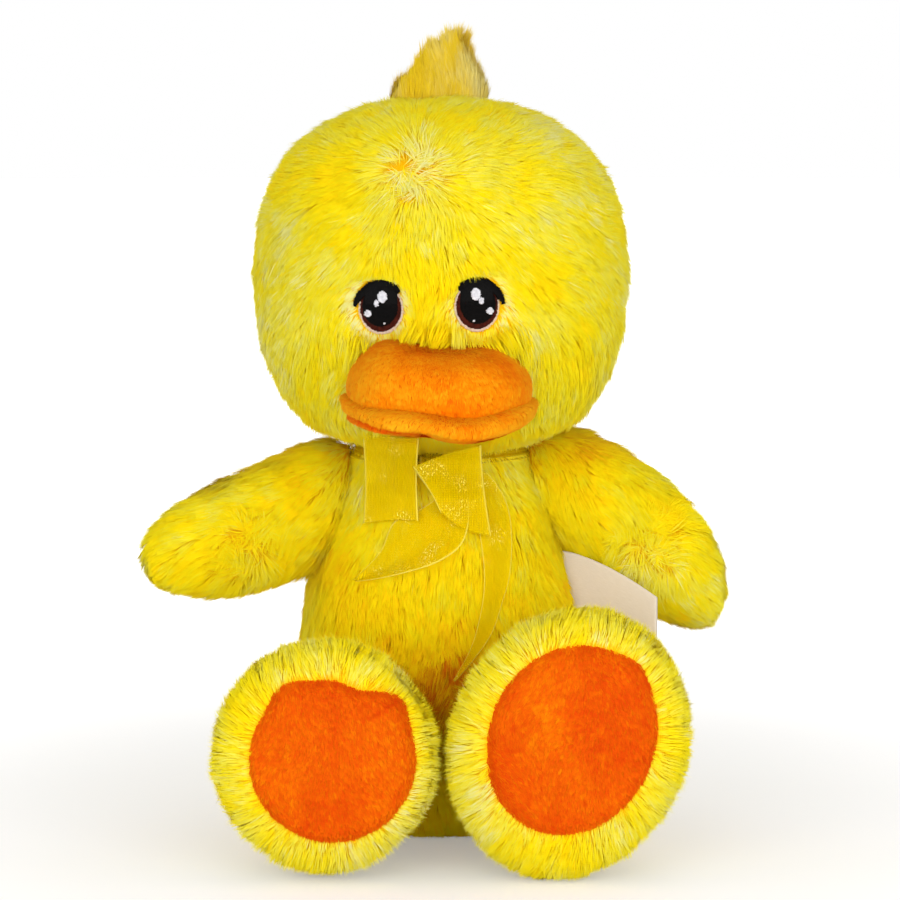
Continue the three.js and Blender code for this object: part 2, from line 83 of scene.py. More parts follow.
def add(tree, kind, values=(), links=(), stops=(), **settings):
    """A shader node with its settings, its sockets' values, the links into them and its colour stops. A link is
    from a node, which means its first output, or from a node and the output named with it."""
    made = tree.nodes.new(f"ShaderNode{kind}")
    for key, value in settings.items():
        setattr(made, key, value)
    for socket, value in dict(values).items():
        made.inputs[socket].default_value = value
    for socket, source in dict(links).items():
        node, output = source if isinstance(source, tuple) else (source, 0)
        tree.links.new(node.outputs[output], made.inputs[socket])
    for k, (position, colour) in enumerate(stops):
        stop = made.color_ramp.elements[k] if k < 2 else made.color_ramp.elements.new(position)
        stop.position, stop.color = position, tint(colour)
    return made


def new_material(name):
    made = bpy.data.materials.new(name)
    made.use_nodes = True
    made.node_tree.nodes.clear()
    return made, made.node_tree


# Matt paper: to the camera it glows more with distance, so it meets the sky unseen and still keeps the shadow.
paper, tree = new_material("white_floor_paper")
rays = add(tree, "LightPath")
seen = add(tree, "Math", operation="MAXIMUM", links={0: (rays, "Is Camera Ray"), 1: (rays, "Is Glossy Ray")})
seen = add(tree, "Math", operation="MAXIMUM", links={0: seen, 1: (rays, "Is Transmission Ray")})
spot = add(tree, "TexCoord")
away = add(tree, "VectorMath", operation="LENGTH", links={0: (spot, "Object")})
fade = add(
    tree, "MapRange", values={1: 0.15, 2: 0.8, 3: 0.28, 4: 1.0}, links={0: (away, "Value")},
    interpolation_type="SMOOTHSTEP",
)
lift = add(tree, "Math", operation="MULTIPLY", links={0: seen, 1: fade})
shader = add(
    tree, "BsdfPrincipled", links={"Emission Strength": lift},
    values={
        "Base Color": tint("#F7F6F4"), "Roughness": 0.9, "Specular IOR Level": 0.1, "Emission Color": (1, 1, 1, 1),
    },
)
add(tree, "OutputMaterial", links={"Surface": shader})

floor_form = bmesh.new()
bmesh.ops.create_circle(floor_form, cap_ends=True, segments=96, radius=9)
floor_mesh = bpy.data.meshes.new("paper_floor")
floor_form.to_mesh(floor_mesh)
floor_mesh.materials.append(paper)
paper_floor = bpy.data.objects.new("paper_floor", floor_mesh)
bpy.context.scene.collection.objects.link(paper_floor)

for name, place, watts in (
    ("key_lamp", (-0.75, -1.9, 0.42), 19.5),
    ("fill_lamp", (0.8, -1.9, 0.22), 27.5),
    ("top_lamp", (0.1, 0.3, 1.9), 3.0),
):
    lamp = bpy.data.lights.new(name, "AREA")
    lamp.shape, lamp.size, lamp.energy = "SQUARE", 1.4, watts
    holder = bpy.data.objects.new(name, lamp)
    holder.location = place
    holder.rotation_euler = (view_aim - Vector(place)).to_track_quat("-Z", "Y").to_euler()
    bpy.context.scene.collection.objects.link(holder)

sky = bpy.data.worlds.new("white_sky")
bpy.context.scene.world = sky
sky.use_nodes = True
tree = sky.node_tree
tree.nodes.clear()
rays = add(tree, "LightPath")
even = add(tree, "Background", values={"Color": (1, 1, 1, 1), "Strength": 0.55})
white = add(tree, "Background", values={"Color": (1, 1, 1, 1), "Strength": 1.0})
both = add(tree, "MixShader", links={0: (rays, "Is Camera Ray"), 1: even, 2: white})
add(tree, "OutputWorld", links={"Surface": both})
bpy.context.scene.view_settings.view_transform = "Standard"


# Body: a pear of golden backing cloth, sewn and stuffed hard. Its outline is the shape that the pile hides,
# five millimetres inside what is seen. The forms below work in millimetres and are made to metres at the end.
def outline(stations, steps):
    """Evenly spaced [height share, radius share] points on the smooth line through a form's stations."""
    known = np.array([stations[0], *stations, stations[-1]], float)
    dense = []
    for p0, p1, p2, p3 in zip(known, known[1:], known[2:], known[3:]):
        for t in np.linspace(0, 1, 24, endpoint=False):
            v1, v2 = (p2 - p0) / 2, (p3 - p1) / 2
            dense.append((2 * p1 - 2 * p2 + v1 + v2) * t**3 + (3 * p2 - 3 * p1 - 2 * v1 - v2) * t**2 + v1 * t + p1)
    dense = np.array([*dense, stations[-1]])
    gone = np.concatenate([[0], np.cumsum(np.linalg.norm(np.diff(dense, axis=0), axis=1))])
    spots = np.linspace(0, gone[-1], steps + 1)
    return np.column_stack([np.interp(spots, gone, dense[:, k]) for k in (0, 1)])


def turned(stations, around, along):
    """A closed round form one unit high and wide, spun round Z from its outline."""
    form = bmesh.new()
    line = [form.verts.new((radius, 0, height)) for height, radius in outline(stations, along)]
    for end in (line[0], line[-1]):
        end.co.x = 0
    edges = [form.edges.new(pair) for pair in zip(line, line[1:])]
    bmesh.ops.spin(
        form, geom=line + edges, cent=(0, 0, 0), axis=(0, 0, 1), angle=2 * math.pi, steps=around, use_merge=True
    )
    bmesh.ops.remove_doubles(form, verts=form.verts, dist=1e-6)
    bmesh.ops.recalc_face_normals(form, faces=form.faces)
    return form


def moved(form, rule):
    """Moves a form's points, all at once, by a rule on their places."""
    places = rule(np.array([v.co for v in form.verts]))
    for v, place in zip(form.verts, places):
        v.co = place
    return form


def swell(form, by):
    """Lets a form out along its normals, by what a rule on place gives in millimetres."""
    form.normal_update()
    steps = by(np.array([v.co for v in form.verts]))
    for v, step in zip(form.verts, steps):
        v.co += v.normal * step
    return form


def face_rank(face):
    """A face's place by its three lowest points, since some operators leave the faces in a chance order."""
    a, b, c = sorted(v.index for v in face.verts)[:3]
    return (a * 1e5 + b) * 1e5 + c


def piece(name, form, material):
    """A form in millimetres made an object in metres, with one material and smooth faces, in an order that is the
    same on each run, so that the pile's random draws are too."""
    bmesh.ops.scale(form, vec=(0.001, 0.001, 0.001), verts=form.verts)
    form.verts.index_update()
    form.faces.sort(key=face_rank)
    mesh = bpy.data.meshes.new(name)
    form.to_mesh(mesh)
    form.free()
    mesh.materials.append(material)
    mesh.shade_smooth()
    made = bpy.data.objects.new(name, mesh)
    bpy.context.scene.collection.objects.link(made)
    return made


body_height, body_half_x, body_half_y, body_y, body_drop = 192, 58, 56, 2, 0.5
body_stations = [
    (0, 0), (0.006, 0.36), (0.03, 0.64), (0.09, 0.84), (0.2, 0.97), (0.34, 1), (0.48, 0.965),
    (0.62, 0.875), (0.74, 0.785), (0.83, 0.69), (0.9, 0.6), (0.96, 0.4), (0.99, 0.2), (1, 0),
]
head_height, head_half_x, head_half_y, head_y, head_bottom = 147, 76.5, 71, -12, 168
head_stations = [
    (0, 0), (0.012, 0.3), (0.05, 0.56), (0.12, 0.76), (0.21, 0.88), (0.33, 0.965), (0.47, 0.992),
    (0.6, 0.984), (0.72, 0.936), (0.82, 0.84), (0.9, 0.69), (0.96, 0.48), (0.99, 0.25), (1, 0),
]
body_line = outline(body_stations, 200)
head_line = outline(head_stations, 200)


def body_share(z):
    """The body's width at a height, as a share of its widest."""
    return np.interp((z + body_drop) / body_height, *body_line.T)


def head_share(z):
    return np.interp((z - head_bottom) / head_height, *head_line.T)


def outside_body(p):
    """How far points lie outside the body's backing cloth, negative within it."""
    x, y, z = p.T
    return (np.hypot(x / body_half_x, (y - body_y) / body_half_y) - body_share(z)) * body_half_x


def outside_head(p):
    x, y, z = p.T
    below = np.maximum(head_bottom - z, 0)
    return (np.hypot(x / head_half_x, (y - head_y) / head_half_y) - head_share(z)) * head_half_x + below


def shaped_body(p):
    """The pear, flat where it sits and pressed in under the head."""
    p = p * (body_half_x, body_half_y, body_height) + (0, body_y, -body_drop)
    low = head_line[: len(head_line) // 3]
    share = np.hypot(p[:, 0] / head_half_x, (p[:, 1] - head_y) / head_half_y)
    underside = head_bottom + head_height * np.interp(share, low[:, 1], low[:, 0])
    p[:, 2] = np.clip(p[:, 2], 0, underside - 0.6)
    return p


# Knitted polyester, golden, which shows only between the hairs; it is painted a deeper gold than the pile, as the
# shade that lies there. Its stitches are 0.75 mm wide.
backing, tree = new_material("golden_backing_knit")
spot = add(tree, "TexCoord")
cloud = add(tree, "TexNoise", values={"Scale": 70, "Detail": 3}, links={"Vector": (spot, "Object")})
knit = add(tree, "TexWave", values={"Scale": 420, "Distortion": 2}, links={"Vector": (spot, "Object")})
colour = add(tree, "ValToRGB", links={0: cloud}, stops=[(0.3, "#F0AC00"), (0.7, "#FFC800")])
bump = add(tree, "Bump", values={"Strength": 0.3, "Distance": 0.0004}, links={"Height": knit})
shader = add(
    tree, "BsdfPrincipled", values={"Roughness": 0.95, "Specular IOR Level": 0.1},
    links={"Base Color": colour, "Normal": bump},
)
add(tree, "OutputMaterial", links={"Surface": shader})


def pile_fibre(name, roots, tips, finish, shade_to_sheen=None):
    """Fibre for blades that each read one upright strip of this colour: across, it goes from the first stop to the
    last; along, from the root's colour to the tip's, softly between two shares when these are given. The root's deeper
    colour is painted shade, for deep in the pile, and the tip's paler one is painted sheen."""
    made, tree = new_material(name)
    strip = add(tree, "UVMap", uv_map="OFBake")
    parts = add(tree, "SeparateXYZ", links={0: strip})
    root = add(tree, "ValToRGB", links={0: parts}, stops=roots)
    tip = add(tree, "ValToRGB", links={0: parts}, stops=tips)
    along = (parts, 1)
    if shade_to_sheen:
        along = add(
            tree, "MapRange", values={1: shade_to_sheen[0], 2: shade_to_sheen[1]}, links={0: along},
            interpolation_type="SMOOTHSTEP",
        )
    colour = add(tree, "Mix", data_type="RGBA", links={0: along, 6: root, 7: tip})
    shader = add(tree, "BsdfPrincipled", values=finish, links={"Base Color": (colour, 2)})
    add(tree, "OutputMaterial", links={"Surface": shader})
    return made


# Long pile: crimped polyester fibre, dull and soft. Each hair is painted deep at the root, as the shade down in the
# pile, and pale at its tip, as the sheen along it; the deep orange at the start of the strip is painted shade, for the
# hollow between the legs.
# Real fibres are under 0.05 mm thick; a blade of a third of a millimetre stands for the few that cling together.
long_pile = pile_fibre(
    "long_yellow_pile",
    roots=[(0.0, "#C84C00"), (0.2, "#FFC000"), (0.5, "#FFDA00"), (1.0, "#FAE42C")],
    tips=[
        (0.0, "#E06800"), (0.2, "#FFD400"), (0.42, "#FFE400"), (0.62, "#F5E40C"), (0.82, "#F0E84E"), (1.0, "#ECE9A4"),
    ],
    finish={
        "Roughness": 0.7, "Specular IOR Level": 0.05,
        "Sheen Weight": 0.15, "Sheen Roughness": 0.6, "Sheen Tint": tint("#FFE860"),
    },
    # Where the root's painted shade gives way to the tip's painted sheen, as shares of the hair's length.
    shade_to_sheen=(0.05, 0.75),
)


def unit(v):
    return v / np.maximum(np.linalg.norm(v, axis=-1, keepdims=True), 1e-9)


def capped(share):
    return np.clip(share, 0, 1)


def bell(gap, reach):
    """1 where a gap is nil, falling softly to 0 past its reach."""
    return np.exp(-((gap / reach) ** 2))


def near(p, centre, reach):
    """1 at a place, falling softly to 0 past its reach."""
    return np.exp(-np.sum((p - np.array(centre)) ** 2, axis=1) / (2 * reach * reach))


def clouds(p, size, seed):
    """Smooth patches of that size in millimetres, from -1 to 1, the same on each run."""
    table = np.random.default_rng(seed).uniform(-1, 1, (32, 32, 32))
    cell = np.floor(p / size).astype(int)
    f = p / size - cell
    f = f * f * (3 - 2 * f)
    value = np.zeros(len(p))
    for dx in (0, 1):
        for dy in (0, 1):
            for dz in (0, 1):
                share = abs(1 - dx - f[:, 0]) * abs(1 - dy - f[:, 1]) * abs(1 - dz - f[:, 2])
                value += share * table[(cell[:, 0] + dx) % 32, (cell[:, 1] + dy) % 32, (cell[:, 2] + dz) % 32]
    return value * 1.5


def fixed(value):
    return lambda p: np.full(len(p), float(value))


def brushed(p, *way):
    """A direction for each place, out of numbers and of values by place."""
    return np.column_stack([np.zeros(len(p)) + part for part in way])


def read(block, field, width, kind=np.float32):
    found = np.empty(len(block) * width, kind)
    block.foreach_get(field, found)
    return found.reshape(-1, width)


def pile(
    name, skin, material, seed, per_mm2, length, comb, shade,
    lean=(69, 83), width=0.36, lock=3.2, gather=0.2, sway=14, keep=None, press=None, parts=1,
):
    """Hairs on a skin, as flat tapered blades. By place, length gives their size, comb the way they are brushed,
    shade how pale they are, keep how many of them stay and press how flat they lie (below 0 they stand).
    Neighbours lean together into soft locks, and each blade turns a little towards where it is seen from."""
    rng = np.random.default_rng(seed)
    mesh = skin.data
    mesh.calc_loop_triangles()
    place = read(mesh.vertices, "co", 3) * 1000
    upward = read(mesh.vertex_normals, "vector", 3)
    corner = read(mesh.loop_triangles, "vertices", 3, np.int32)
    a, b, c = (place[corner[:, k]] for k in range(3))
    area = np.linalg.norm(np.cross(b - a, c - a), axis=1) / 2
    face = np.repeat(np.arange(len(area)), rng.poisson(area * per_mm2))
    u, v = rng.random((2, len(face), 1))
    u, v = np.where(u + v > 1, 1 - u, u), np.where(u + v > 1, 1 - v, v)
    root = a[face] + (b - a)[face] * u + (c - a)[face] * v
    up = upward[corner[face]]
    up = unit(up[:, 0] * (1 - u - v) + up[:, 1] * u + up[:, 2] * v)
    if keep:
        stays = rng.random(len(root)) < keep(root)
        root, up = root[stays], up[stays]
    n = len(root)

    leaders = rng.permutation(n)[: max(1, int(n / (per_mm2 * lock * lock)))]
    finder = KDTree(len(leaders))
    for k, place in enumerate(root[leaders]):
        finder.insert(place, k)
    finder.balance()
    own = np.array([finder.find(place)[1] for place in root])

    way = comb(root)
    way = unit(way - up * np.sum(way * up, axis=1, keepdims=True))
    side = np.cross(up, way)
    turn = sway * (1.6 * clouds(root, 17, seed) + rng.normal(0, 0.5, len(leaders))[own] + rng.normal(0, 0.4, n))
    turn = np.radians(turn)[:, None]
    way = way * np.cos(turn) + side * np.sin(turn)
    flat = press(root) if press else 0
    size = length(root) * rng.uniform(0.82, 1.12, n) * rng.uniform(0.88, 1.14, len(leaders))[own]
    tilt = 4 * clouds(root, 9, seed + 1) + rng.normal(0, 2, len(leaders))[own] + rng.normal(0, 3, n)
    low, high = (np.radians(np.clip(x + tilt + (86 - x) * flat, 4, 84))[:, None] for x in lean)
    mid = root + (up * np.cos(low) + way * np.sin(low)) * size[:, None] * 0.5
    tip = mid + (up * np.cos(high) + way * np.sin(high)) * size[:, None] * 0.5
    pull = gather * rng.uniform(0.6, 1.15, (n, 1))
    mid += (mid[leaders][own] - mid) * pull * 0.3
    tip += (tip[leaders][own] - tip) * pull
    along = unit(tip - root)
    side = unit(np.cross(along, up))
    to_front = -0.4 * np.clip((0.12 - up[:, 1]) / 0.12, -1, 1) * side[:, 1]
    roll = to_front[:, None] + rng.normal(0, 0.09, (n, 1))
    side = side * np.cos(roll) + np.cross(along, side) * np.sin(roll)
    facing = np.cross(side, along)
    side *= width * rng.uniform(0.35, 0.65, (n, 1))
    hair = np.stack([root, mid - side, mid + side, tip], axis=1)
    hair[:, :, 2] = np.maximum(hair[:, :, 2], 0.15 + 0.4 * rng.random((n, 1)))
    softness = 0.92  # how far a blade is lit as its cloth is
    soft = np.repeat(unit(up * softness + facing * (1 - softness)), 4, axis=0).reshape(n, 4, 3)
    pale = np.clip(shade(root) + rng.normal(0, 0.07, len(leaders))[own] + rng.normal(0, 0.06, n), 0, 1) * 0.96
    strip = np.empty((n, 6, 2))
    strip[:, :, 0] = pale[:, None] + 0.04 * np.array([0.5, 1, 0, 0, 1, 0.5])
    strip[:, :, 1] = np.array([0.02, 0.45, 0.45, 0.45, 0.45, 0.98])

    centre = root.mean(axis=0)
    order = np.argsort(np.arctan2(root[:, 0] - centre[0], root[:, 1] - centre[1]))
    made = []
    for k, chosen in enumerate(np.array_split(order, parts)):
        m = len(chosen)
        mesh = bpy.data.meshes.new(name if parts == 1 else f"{name}_{k + 1}")
        mesh.vertices.add(m * 4)
        mesh.vertices.foreach_set("co", (hair[chosen] / 1000).astype(np.float32).ravel())
        mesh.loops.add(m * 6)
        index = np.arange(m)[:, None] * 4 + [0, 2, 1, 1, 2, 3]
        mesh.loops.foreach_set("vertex_index", index.astype(np.int32).ravel())
        mesh.polygons.add(m * 2)
        mesh.polygons.foreach_set("loop_start", (np.arange(m)[:, None] * 6 + [0, 3]).astype(np.int32).ravel())
        mesh.uv_layers.new(name="OFBake").data.foreach_set("uv", strip[chosen].astype(np.float32).ravel())
        mesh.update(calc_edges=True)
        mesh.shade_smooth()
        mesh.normals_split_custom_set_from_vertices(soft[chosen].reshape(-1, 3))
        mesh.materials.append(material)
        made.append(bpy.data.objects.new(mesh.name, mesh))
        bpy.context.scene.collection.objects.link(made[-1])
    return made


def body_fullness(p):
    x, _, z = p.T
    flank = 1.2 * bell(z - 104, 16) * capped((np.abs(x) - 25) / 20)
    return (1.2 + flank) * capped((163 - z) / 10) * capped(z / 4)


body_skin = piece("body_cloth", swell(moved(turned(body_stations, 84, 60), shaped_body), body_fullness), backing)
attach(body_skin, "body")
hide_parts("body_cover", "body_stuffing")

ribbon_lies = (  # from, to and half width of what the bow and its tails press down
    ((-22, 168), (-22, 141), 12), ((4, 165), (10, 142), 11), ((2, 150), (-22, 127), 9), ((-22, 124), (-36, 114), 4),
    ((15, 158), (24, 140), 7), ((24, 140), (24, 112), 6), ((24, 112), (7, 76), 5),
)


def under_ribbon(p):
    """1 where the bow or a tail lies on the chest, falling to 0 within a few millimetres."""
    spot, gap = p[:, [0, 2]], np.full(len(p), 99.0)
    for start, end, half in ribbon_lies:
        start, on = np.array(start), np.array(end) - start
        share = capped((spot - start) @ on / (on @ on))[:, None]
        gap = np.minimum(gap, np.linalg.norm(spot - start - share * on, axis=1) - half)
    return capped(1 - gap / 4) * (p[:, 1] < 0)


def body_keep(p):
    z = p[:, 2]
    return np.where((z > 167) | (outside_head(p) < 2.5), 0, np.where(z < 1.0, 0.35, 1.0))


def body_length(p):
    return np.where(p[:, 2] > 155, 8.5, 11.5) * (1 - 0.2 * under_ribbon(p))


def body_shade(p):
    # Darker low on the front, as painted shade, and deep orange in the hollow between the legs, as painted shade;
    # paler above 148 mm, as painted light under the chin, where the head's shadow falls.
    _, y, z = p.T
    low = capped((90 - z) / 120) * (y < 0)
    painted_shade_between_legs = near(p * (1, 0.3, 1), (4, -16, 72), 17)
    return (
        0.46 + 0.1 * clouds(p, 21, 3) + 0.08 * clouds(p, 8, 4) + 0.14 * (z > 148) - 0.12 * low - 0.42 * painted_shade_between_legs
    )


body_pile = pile(
    "body_pile", body_skin, long_pile, 11, 3.0, body_length,
    lambda p: brushed(p, p[:, 0] / 75, (p[:, 1] - body_y) / 160, -1), body_shade,
    keep=body_keep, press=lambda p: 0.3 * under_ribbon(p), parts=3,
)
for hairs in body_pile:
    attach(hairs, "body")

# Tail: a small stuffed point with the same pile, sewn low on the back and curving up.
tail_stations = [(0, 0), (0.02, 0.6), (0.12, 0.92), (0.35, 1), (0.62, 0.74), (0.85, 0.4), (0.97, 0.16), (1, 0)]
tail_length, tail_half_x, tail_half_z, tail_sunk, tail_z, tail_rise = 42, 20, 15, 16, 60, 24
seam_gap = 2.4


def clear_of_body(p):
    """Presses what would enter the body flat against its cloth."""
    spoke = unit((p - (0, body_y, 0)) * (1, 1, 0))
    return p + spoke * np.maximum(seam_gap - outside_body(p), 0)[:, None]


def shaped_tail(p):
    share = p[:, 2]
    x, z = p[:, 0] * tail_half_x, -p[:, 1] * tail_half_z + tail_rise * share**2 + tail_z
    return clear_of_body(np.c_[x, body_y + body_half_y - tail_sunk + share * tail_length, z])


tail_skin = piece("tail_cloth", swell(moved(turned(tail_stations, 40, 26), shaped_tail), fixed(1.5)), backing)
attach(tail_skin, "body")
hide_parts("tail_cover", "tail_stuffing")


def off_body(p):
    return outside_body(p) > 3


tail_pile = pile(
    "tail_pile", tail_skin, long_pile, 12, 3.2, fixed(11),
    lambda p: brushed(p, 0, 1, 0.35), lambda p: 0.5 + 0.2 * clouds(p, 15, 5), keep=off_body,
)
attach(tail_pile[0], "body")


# Head: one large round cover. Its pile is brushed out from a whorl on the forehead, over the brow and cheeks, and
# is cut short round the eyes and the bill, with a fringe of longer hairs that hangs over the bill's root.
def shaped_head(p):
    return p * (head_half_x, head_half_y, head_height) + (0, head_y, head_bottom)


def head_fullness(p):
    return 1.4 * capped((p[:, 2] - 176) / 8)


head_skin = piece("head_cloth", swell(moved(turned(head_stations, 96, 70), shaped_head), head_fullness), backing)
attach(head_skin, "head")
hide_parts("head_cover", "head_stuffing")

whorl = seen_at(415, 172, head_skin)
right_eye_at = seen_at(379.5, 304, head_skin)
left_eye_at = seen_at(479, 302, head_skin)
bill_x, bill_y = -0.5, -78
upper_bill_z, upper_half_x, upper_half_y, upper_half_z = 202, 38, 42, 17
lower_bill_z, lower_half_x, lower_half_y, lower_half_z = 188.5, 40, 45, 8.5


def in_oval(p, centre, half_x, half_z):
    """A point's place in an upright oval that faces the front: under 1 inside it, far over 1 behind."""
    return np.hypot((p[:, 0] - centre[0]) / half_x, (p[:, 2] - centre[2]) / half_z) + 9 * (p[:, 1] > head_y)


def by_eye(p):
    return np.minimum(in_oval(p, right_eye_at, 9.4, 11.6), in_oval(p, left_eye_at, 9.8, 11.8))


def by_bill(p):
    upper = in_oval(p, (bill_x, 0, upper_bill_z), upper_half_x - 1, upper_half_z - 1)
    return np.minimum(upper, in_oval(p, (bill_x, 0, lower_bill_z), lower_half_x - 1, lower_half_z - 1))


def head_keep(p):
    under = (np.hypot(p[:, 0], p[:, 1]) < 42) & (p[:, 2] < 195)
    return ~((by_eye(p) < 0.94) | (by_bill(p) < 0.93) | under)


def ruffle(p, centre, seed):
    """Small random turns that break up the star of hairs at a whorl."""
    return np.column_stack([clouds(p, 2.6, seed + k) for k in range(3)]) * (3 * near(p, centre, 6))[:, None]


def head_comb(p):
    """Out from the whorl, more and more downwards to the cheeks and the back, and away from each eye."""
    share = np.clip((262 - p[:, 2]) / 95, 0, 0.75)[:, None]
    share = np.maximum(share, np.clip((p[:, 1] + 20) / 70, 0, 0.8)[:, None])
    way = unit(unit(p - whorl) * (1 - share) + brushed(p, p[:, 0] / 160, 0, -1) * share)
    for eye in (right_eye_at, left_eye_at):
        away = unit((p - eye) * (1, 0.2, 1))
        way = way + away * (1.3 * near(p, eye, 9.5))[:, None]
    return way + ruffle(p, whorl, 22)


def head_length(p):
    size = 11.5 - 8 * bell(np.maximum(by_eye(p) - 1, 0), 0.5)
    return size - 3.5 * bell(np.maximum(by_bill(p) - 0.93, 0), 0.12) * (p[:, 2] < 206)


def head_shade(p):
    """Paler at the sides, as painted rim light, and at the crown, as painted top light. Short pile at the eyes and
    bill, and the whorl, are as pale at the root, without the root's painted shade.
    """
    side = capped((np.abs(p[:, 0]) - 30) / 45)
    crown = capped((p[:, 2] - 285) / 25)
    short = bell(by_eye(p) - 1, 0.35) + 0.5 * bell(by_bill(p) - 0.95, 0.12)
    unshaded_roots = 0.3 * short + 0.22 * near(p, whorl, 6)
    return 0.58 + 0.12 * clouds(p, 19, 7) + 0.09 * clouds(p, 7, 8) + 0.16 * side + 0.14 * crown + unshaded_roots


head_pile = pile(
    "head_pile", head_skin, long_pile, 21, 3.0, head_length, head_comb, head_shade,
    keep=head_keep, press=lambda p: -0.12 * near(p, whorl, 6), parts=4,
)


def fringe_keep(p):
    x, y, z = p.T
    over_bill = (np.abs(x - bill_x) < 36) & (y < -50) & (by_eye(p) > 1.15)
    tufted = 0.7 + 0.6 * clouds(p * (1, 1, 0.4), 7, 24)
    return over_bill * tufted * bell(z - 224 + 0.0035 * x**2, 4.5)


fringe = pile(
    "bill_fringe", head_skin, long_pile, 25, 1.6, fixed(15.5),
    lambda p: brushed(p, 0.25 * clouds(p, 6, 26), 0, -1), lambda p: np.minimum(head_shade(p), 0.6),
    lean=(24, 50), width=0.34, lock=3.6, gather=0.45, keep=fringe_keep,
)
for hairs in head_pile + fringe:
    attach(hairs, "head")

# Crest: a tuft of the same fibre in dull mustard, sewn into the crown seam and combed upright.
crest_stations = [
    (0, 0), (0.01, 0.6), (0.12, 0.95), (0.3, 1), (0.45, 0.88), (0.6, 0.68), (0.74, 0.46),
    (0.86, 0.28), (0.95, 0.15), (0.985, 0.08), (1, 0),
]
crest_bottom, crest_height, crest_lean = 302, 38, 11
crest_half_x, crest_half_y, crest_x, crest_y = 19.32, 7.2, -2.6, -10


def shaped_crest(p):
    share = p[:, 2]
    x = p[:, 0] * crest_half_x + crest_x + crest_lean * (share - 0.25)
    return np.c_[x, p[:, 1] * crest_half_y + crest_y, crest_bottom + share * crest_height]


# Extra long pile in dull mustard, so the tuft looks dusty beside the lemon head. Its paler tips are painted sheen, and
# its palest, at the tuft's edges and top, is painted backlight.
mustard_pile = pile_fibre(
    "mustard_crest_pile", roots=[(0.0, "#DCB000"), (1.0, "#EED044")],
    tips=[(0.0, "#ECC800"), (0.5, "#EED024"), (1.0, "#E8DE96")], finish={"Roughness": 0.8, "Specular IOR Level": 0.08},
)


def crest_shade(p):
    # Paler at the edges and the top: painted backlight.
    edge, top = capped((np.abs(p[:, 0] + 2) - 9) / 9), capped((p[:, 2] - 326) / 16)
    return 0.42 + 0.16 * clouds(p, 9, 9) + 0.4 * edge + 0.34 * top


crest_skin = piece("crest_core", moved(turned(crest_stations, 36, 30), shaped_crest), backing)
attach(crest_skin, "head")
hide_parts("crest")
crest_pile = pile(
    "crest_pile", crest_skin, mustard_pile, 31, 11.0,
    lambda p: np.interp(p[:, 2], [312, 340], [11, 13]) * (1 + 0.2 * clouds(p, 6, 32)),
    lambda p: brushed(p, p[:, 0] * 0.004 + 0.1, 0, 1), crest_shade,
    lean=(68, 80), width=0.28, lock=2.0, gather=0.25, sway=12, keep=lambda p: outside_head(p) > -3,
)
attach(crest_pile[0], "head")

# Wings: stuffed lobes of the same cloth, sewn into the side seams below the neck. Their pile is brushed towards the
# tip from a whorl on the front.
wing_stations = [
    (0, 0), (0.012, 0.45), (0.045, 0.72), (0.11, 0.88), (0.21, 0.96), (0.36, 1), (0.52, 0.99),
    (0.67, 0.93), (0.8, 0.81), (0.9, 0.62), (0.96, 0.42), (0.99, 0.22), (1, 0),
]
wing_half_z, wing_half_y, wing_root = 23, 20, 14


def turn_matrix(degrees, axis):
    return np.array(Matrix.Rotation(math.radians(degrees), 3, axis))


for name, side, wing_length, droop, forward, sag, shoulder_z, whorl_pixel, seed in (
    ("wing_right", -1, 106, 18.5, 24, 3, 149, (244, 552), 41),
    ("wing_left", 1, 110, 37, 4, -7, 153.5, (655, 545), 42),
):
    shoulder = np.array((side * body_half_x * body_share(shoulder_z), body_y, shoulder_z))
    aim = turn_matrix(-side * forward, "Z") @ turn_matrix(side * droop, "Y") @ turn_matrix(side * 90, "Y")
    reach = aim @ np.array((0, 0, 1.0))

    def shaped_wing(p):
        share = p[:, 2].copy()
        p = p * (wing_half_z, wing_half_y, wing_length) + (0, 0, -wing_root)
        p[:, 0] += side * sag * np.sin(np.pi * share)
        return clear_of_body(p @ aim.T + shoulder)

    def wing_fullness(p):
        return 0.5 * capped(((p - shoulder) @ reach + 2) / 14)

    form = moved(swell(moved(turned(wing_stations, 56, 48), shaped_wing), wing_fullness), clear_of_body)
    skin = piece(f"{name}_cloth", form, backing)
    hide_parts(f"{name}_cover", f"{name}_stuffing")
    swirl = seen_at(*whorl_pixel, skin)

    def wing_comb(p):
        share = 0.7 * near(p, swirl, 17)[:, None]
        way = unit(reach + np.array((0, 0, -0.45))) * (1 - share) + unit(p - swirl) * share
        return way + ruffle(p, swirl, seed + 70)

    def wing_shade(p):
        out = (p - shoulder) @ reach / wing_length
        # Paler at the whorl, where the parted hairs would show the root's painted shade.
        whirl = 0.14 * near(p, swirl, 6)
        return 0.46 + 0.26 * out + whirl + 0.11 * clouds(p, 19, seed) + 0.09 * clouds(p, 7, seed + 50)

    hairs = pile(
        f"{name}_pile", skin, long_pile, seed, 3.0, lambda p: 12 - 3 * capped(((p - shoulder) @ reach - 70) / 25),
        wing_comb, wing_shade, lock=4.2, gather=0.25, keep=off_body, press=lambda p: -0.12 * near(p, swirl, 6),
    )[0]
    for part in (skin, hairs):
        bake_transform(part)

# Legs: stout stuffed tubes that swell to the feet, sewn to the body's front. A short-pile sole is let into the front
# of each, and the long pile is brushed out round it as a bright rim.
leg_stations = [
    (0, 0), (0.012, 0.36), (0.05, 0.6), (0.14, 0.74), (0.3, 0.79), (0.48, 0.83), (0.66, 0.93),
    (0.8, 1), (0.89, 0.975), (0.945, 0.88), (0.975, 0.7), (0.992, 0.4), (1, 0),
]
leg_length, leg_root_y, hip_z, foot_share, foot_narrow = 116, -14, 40, 0.8, 0.17

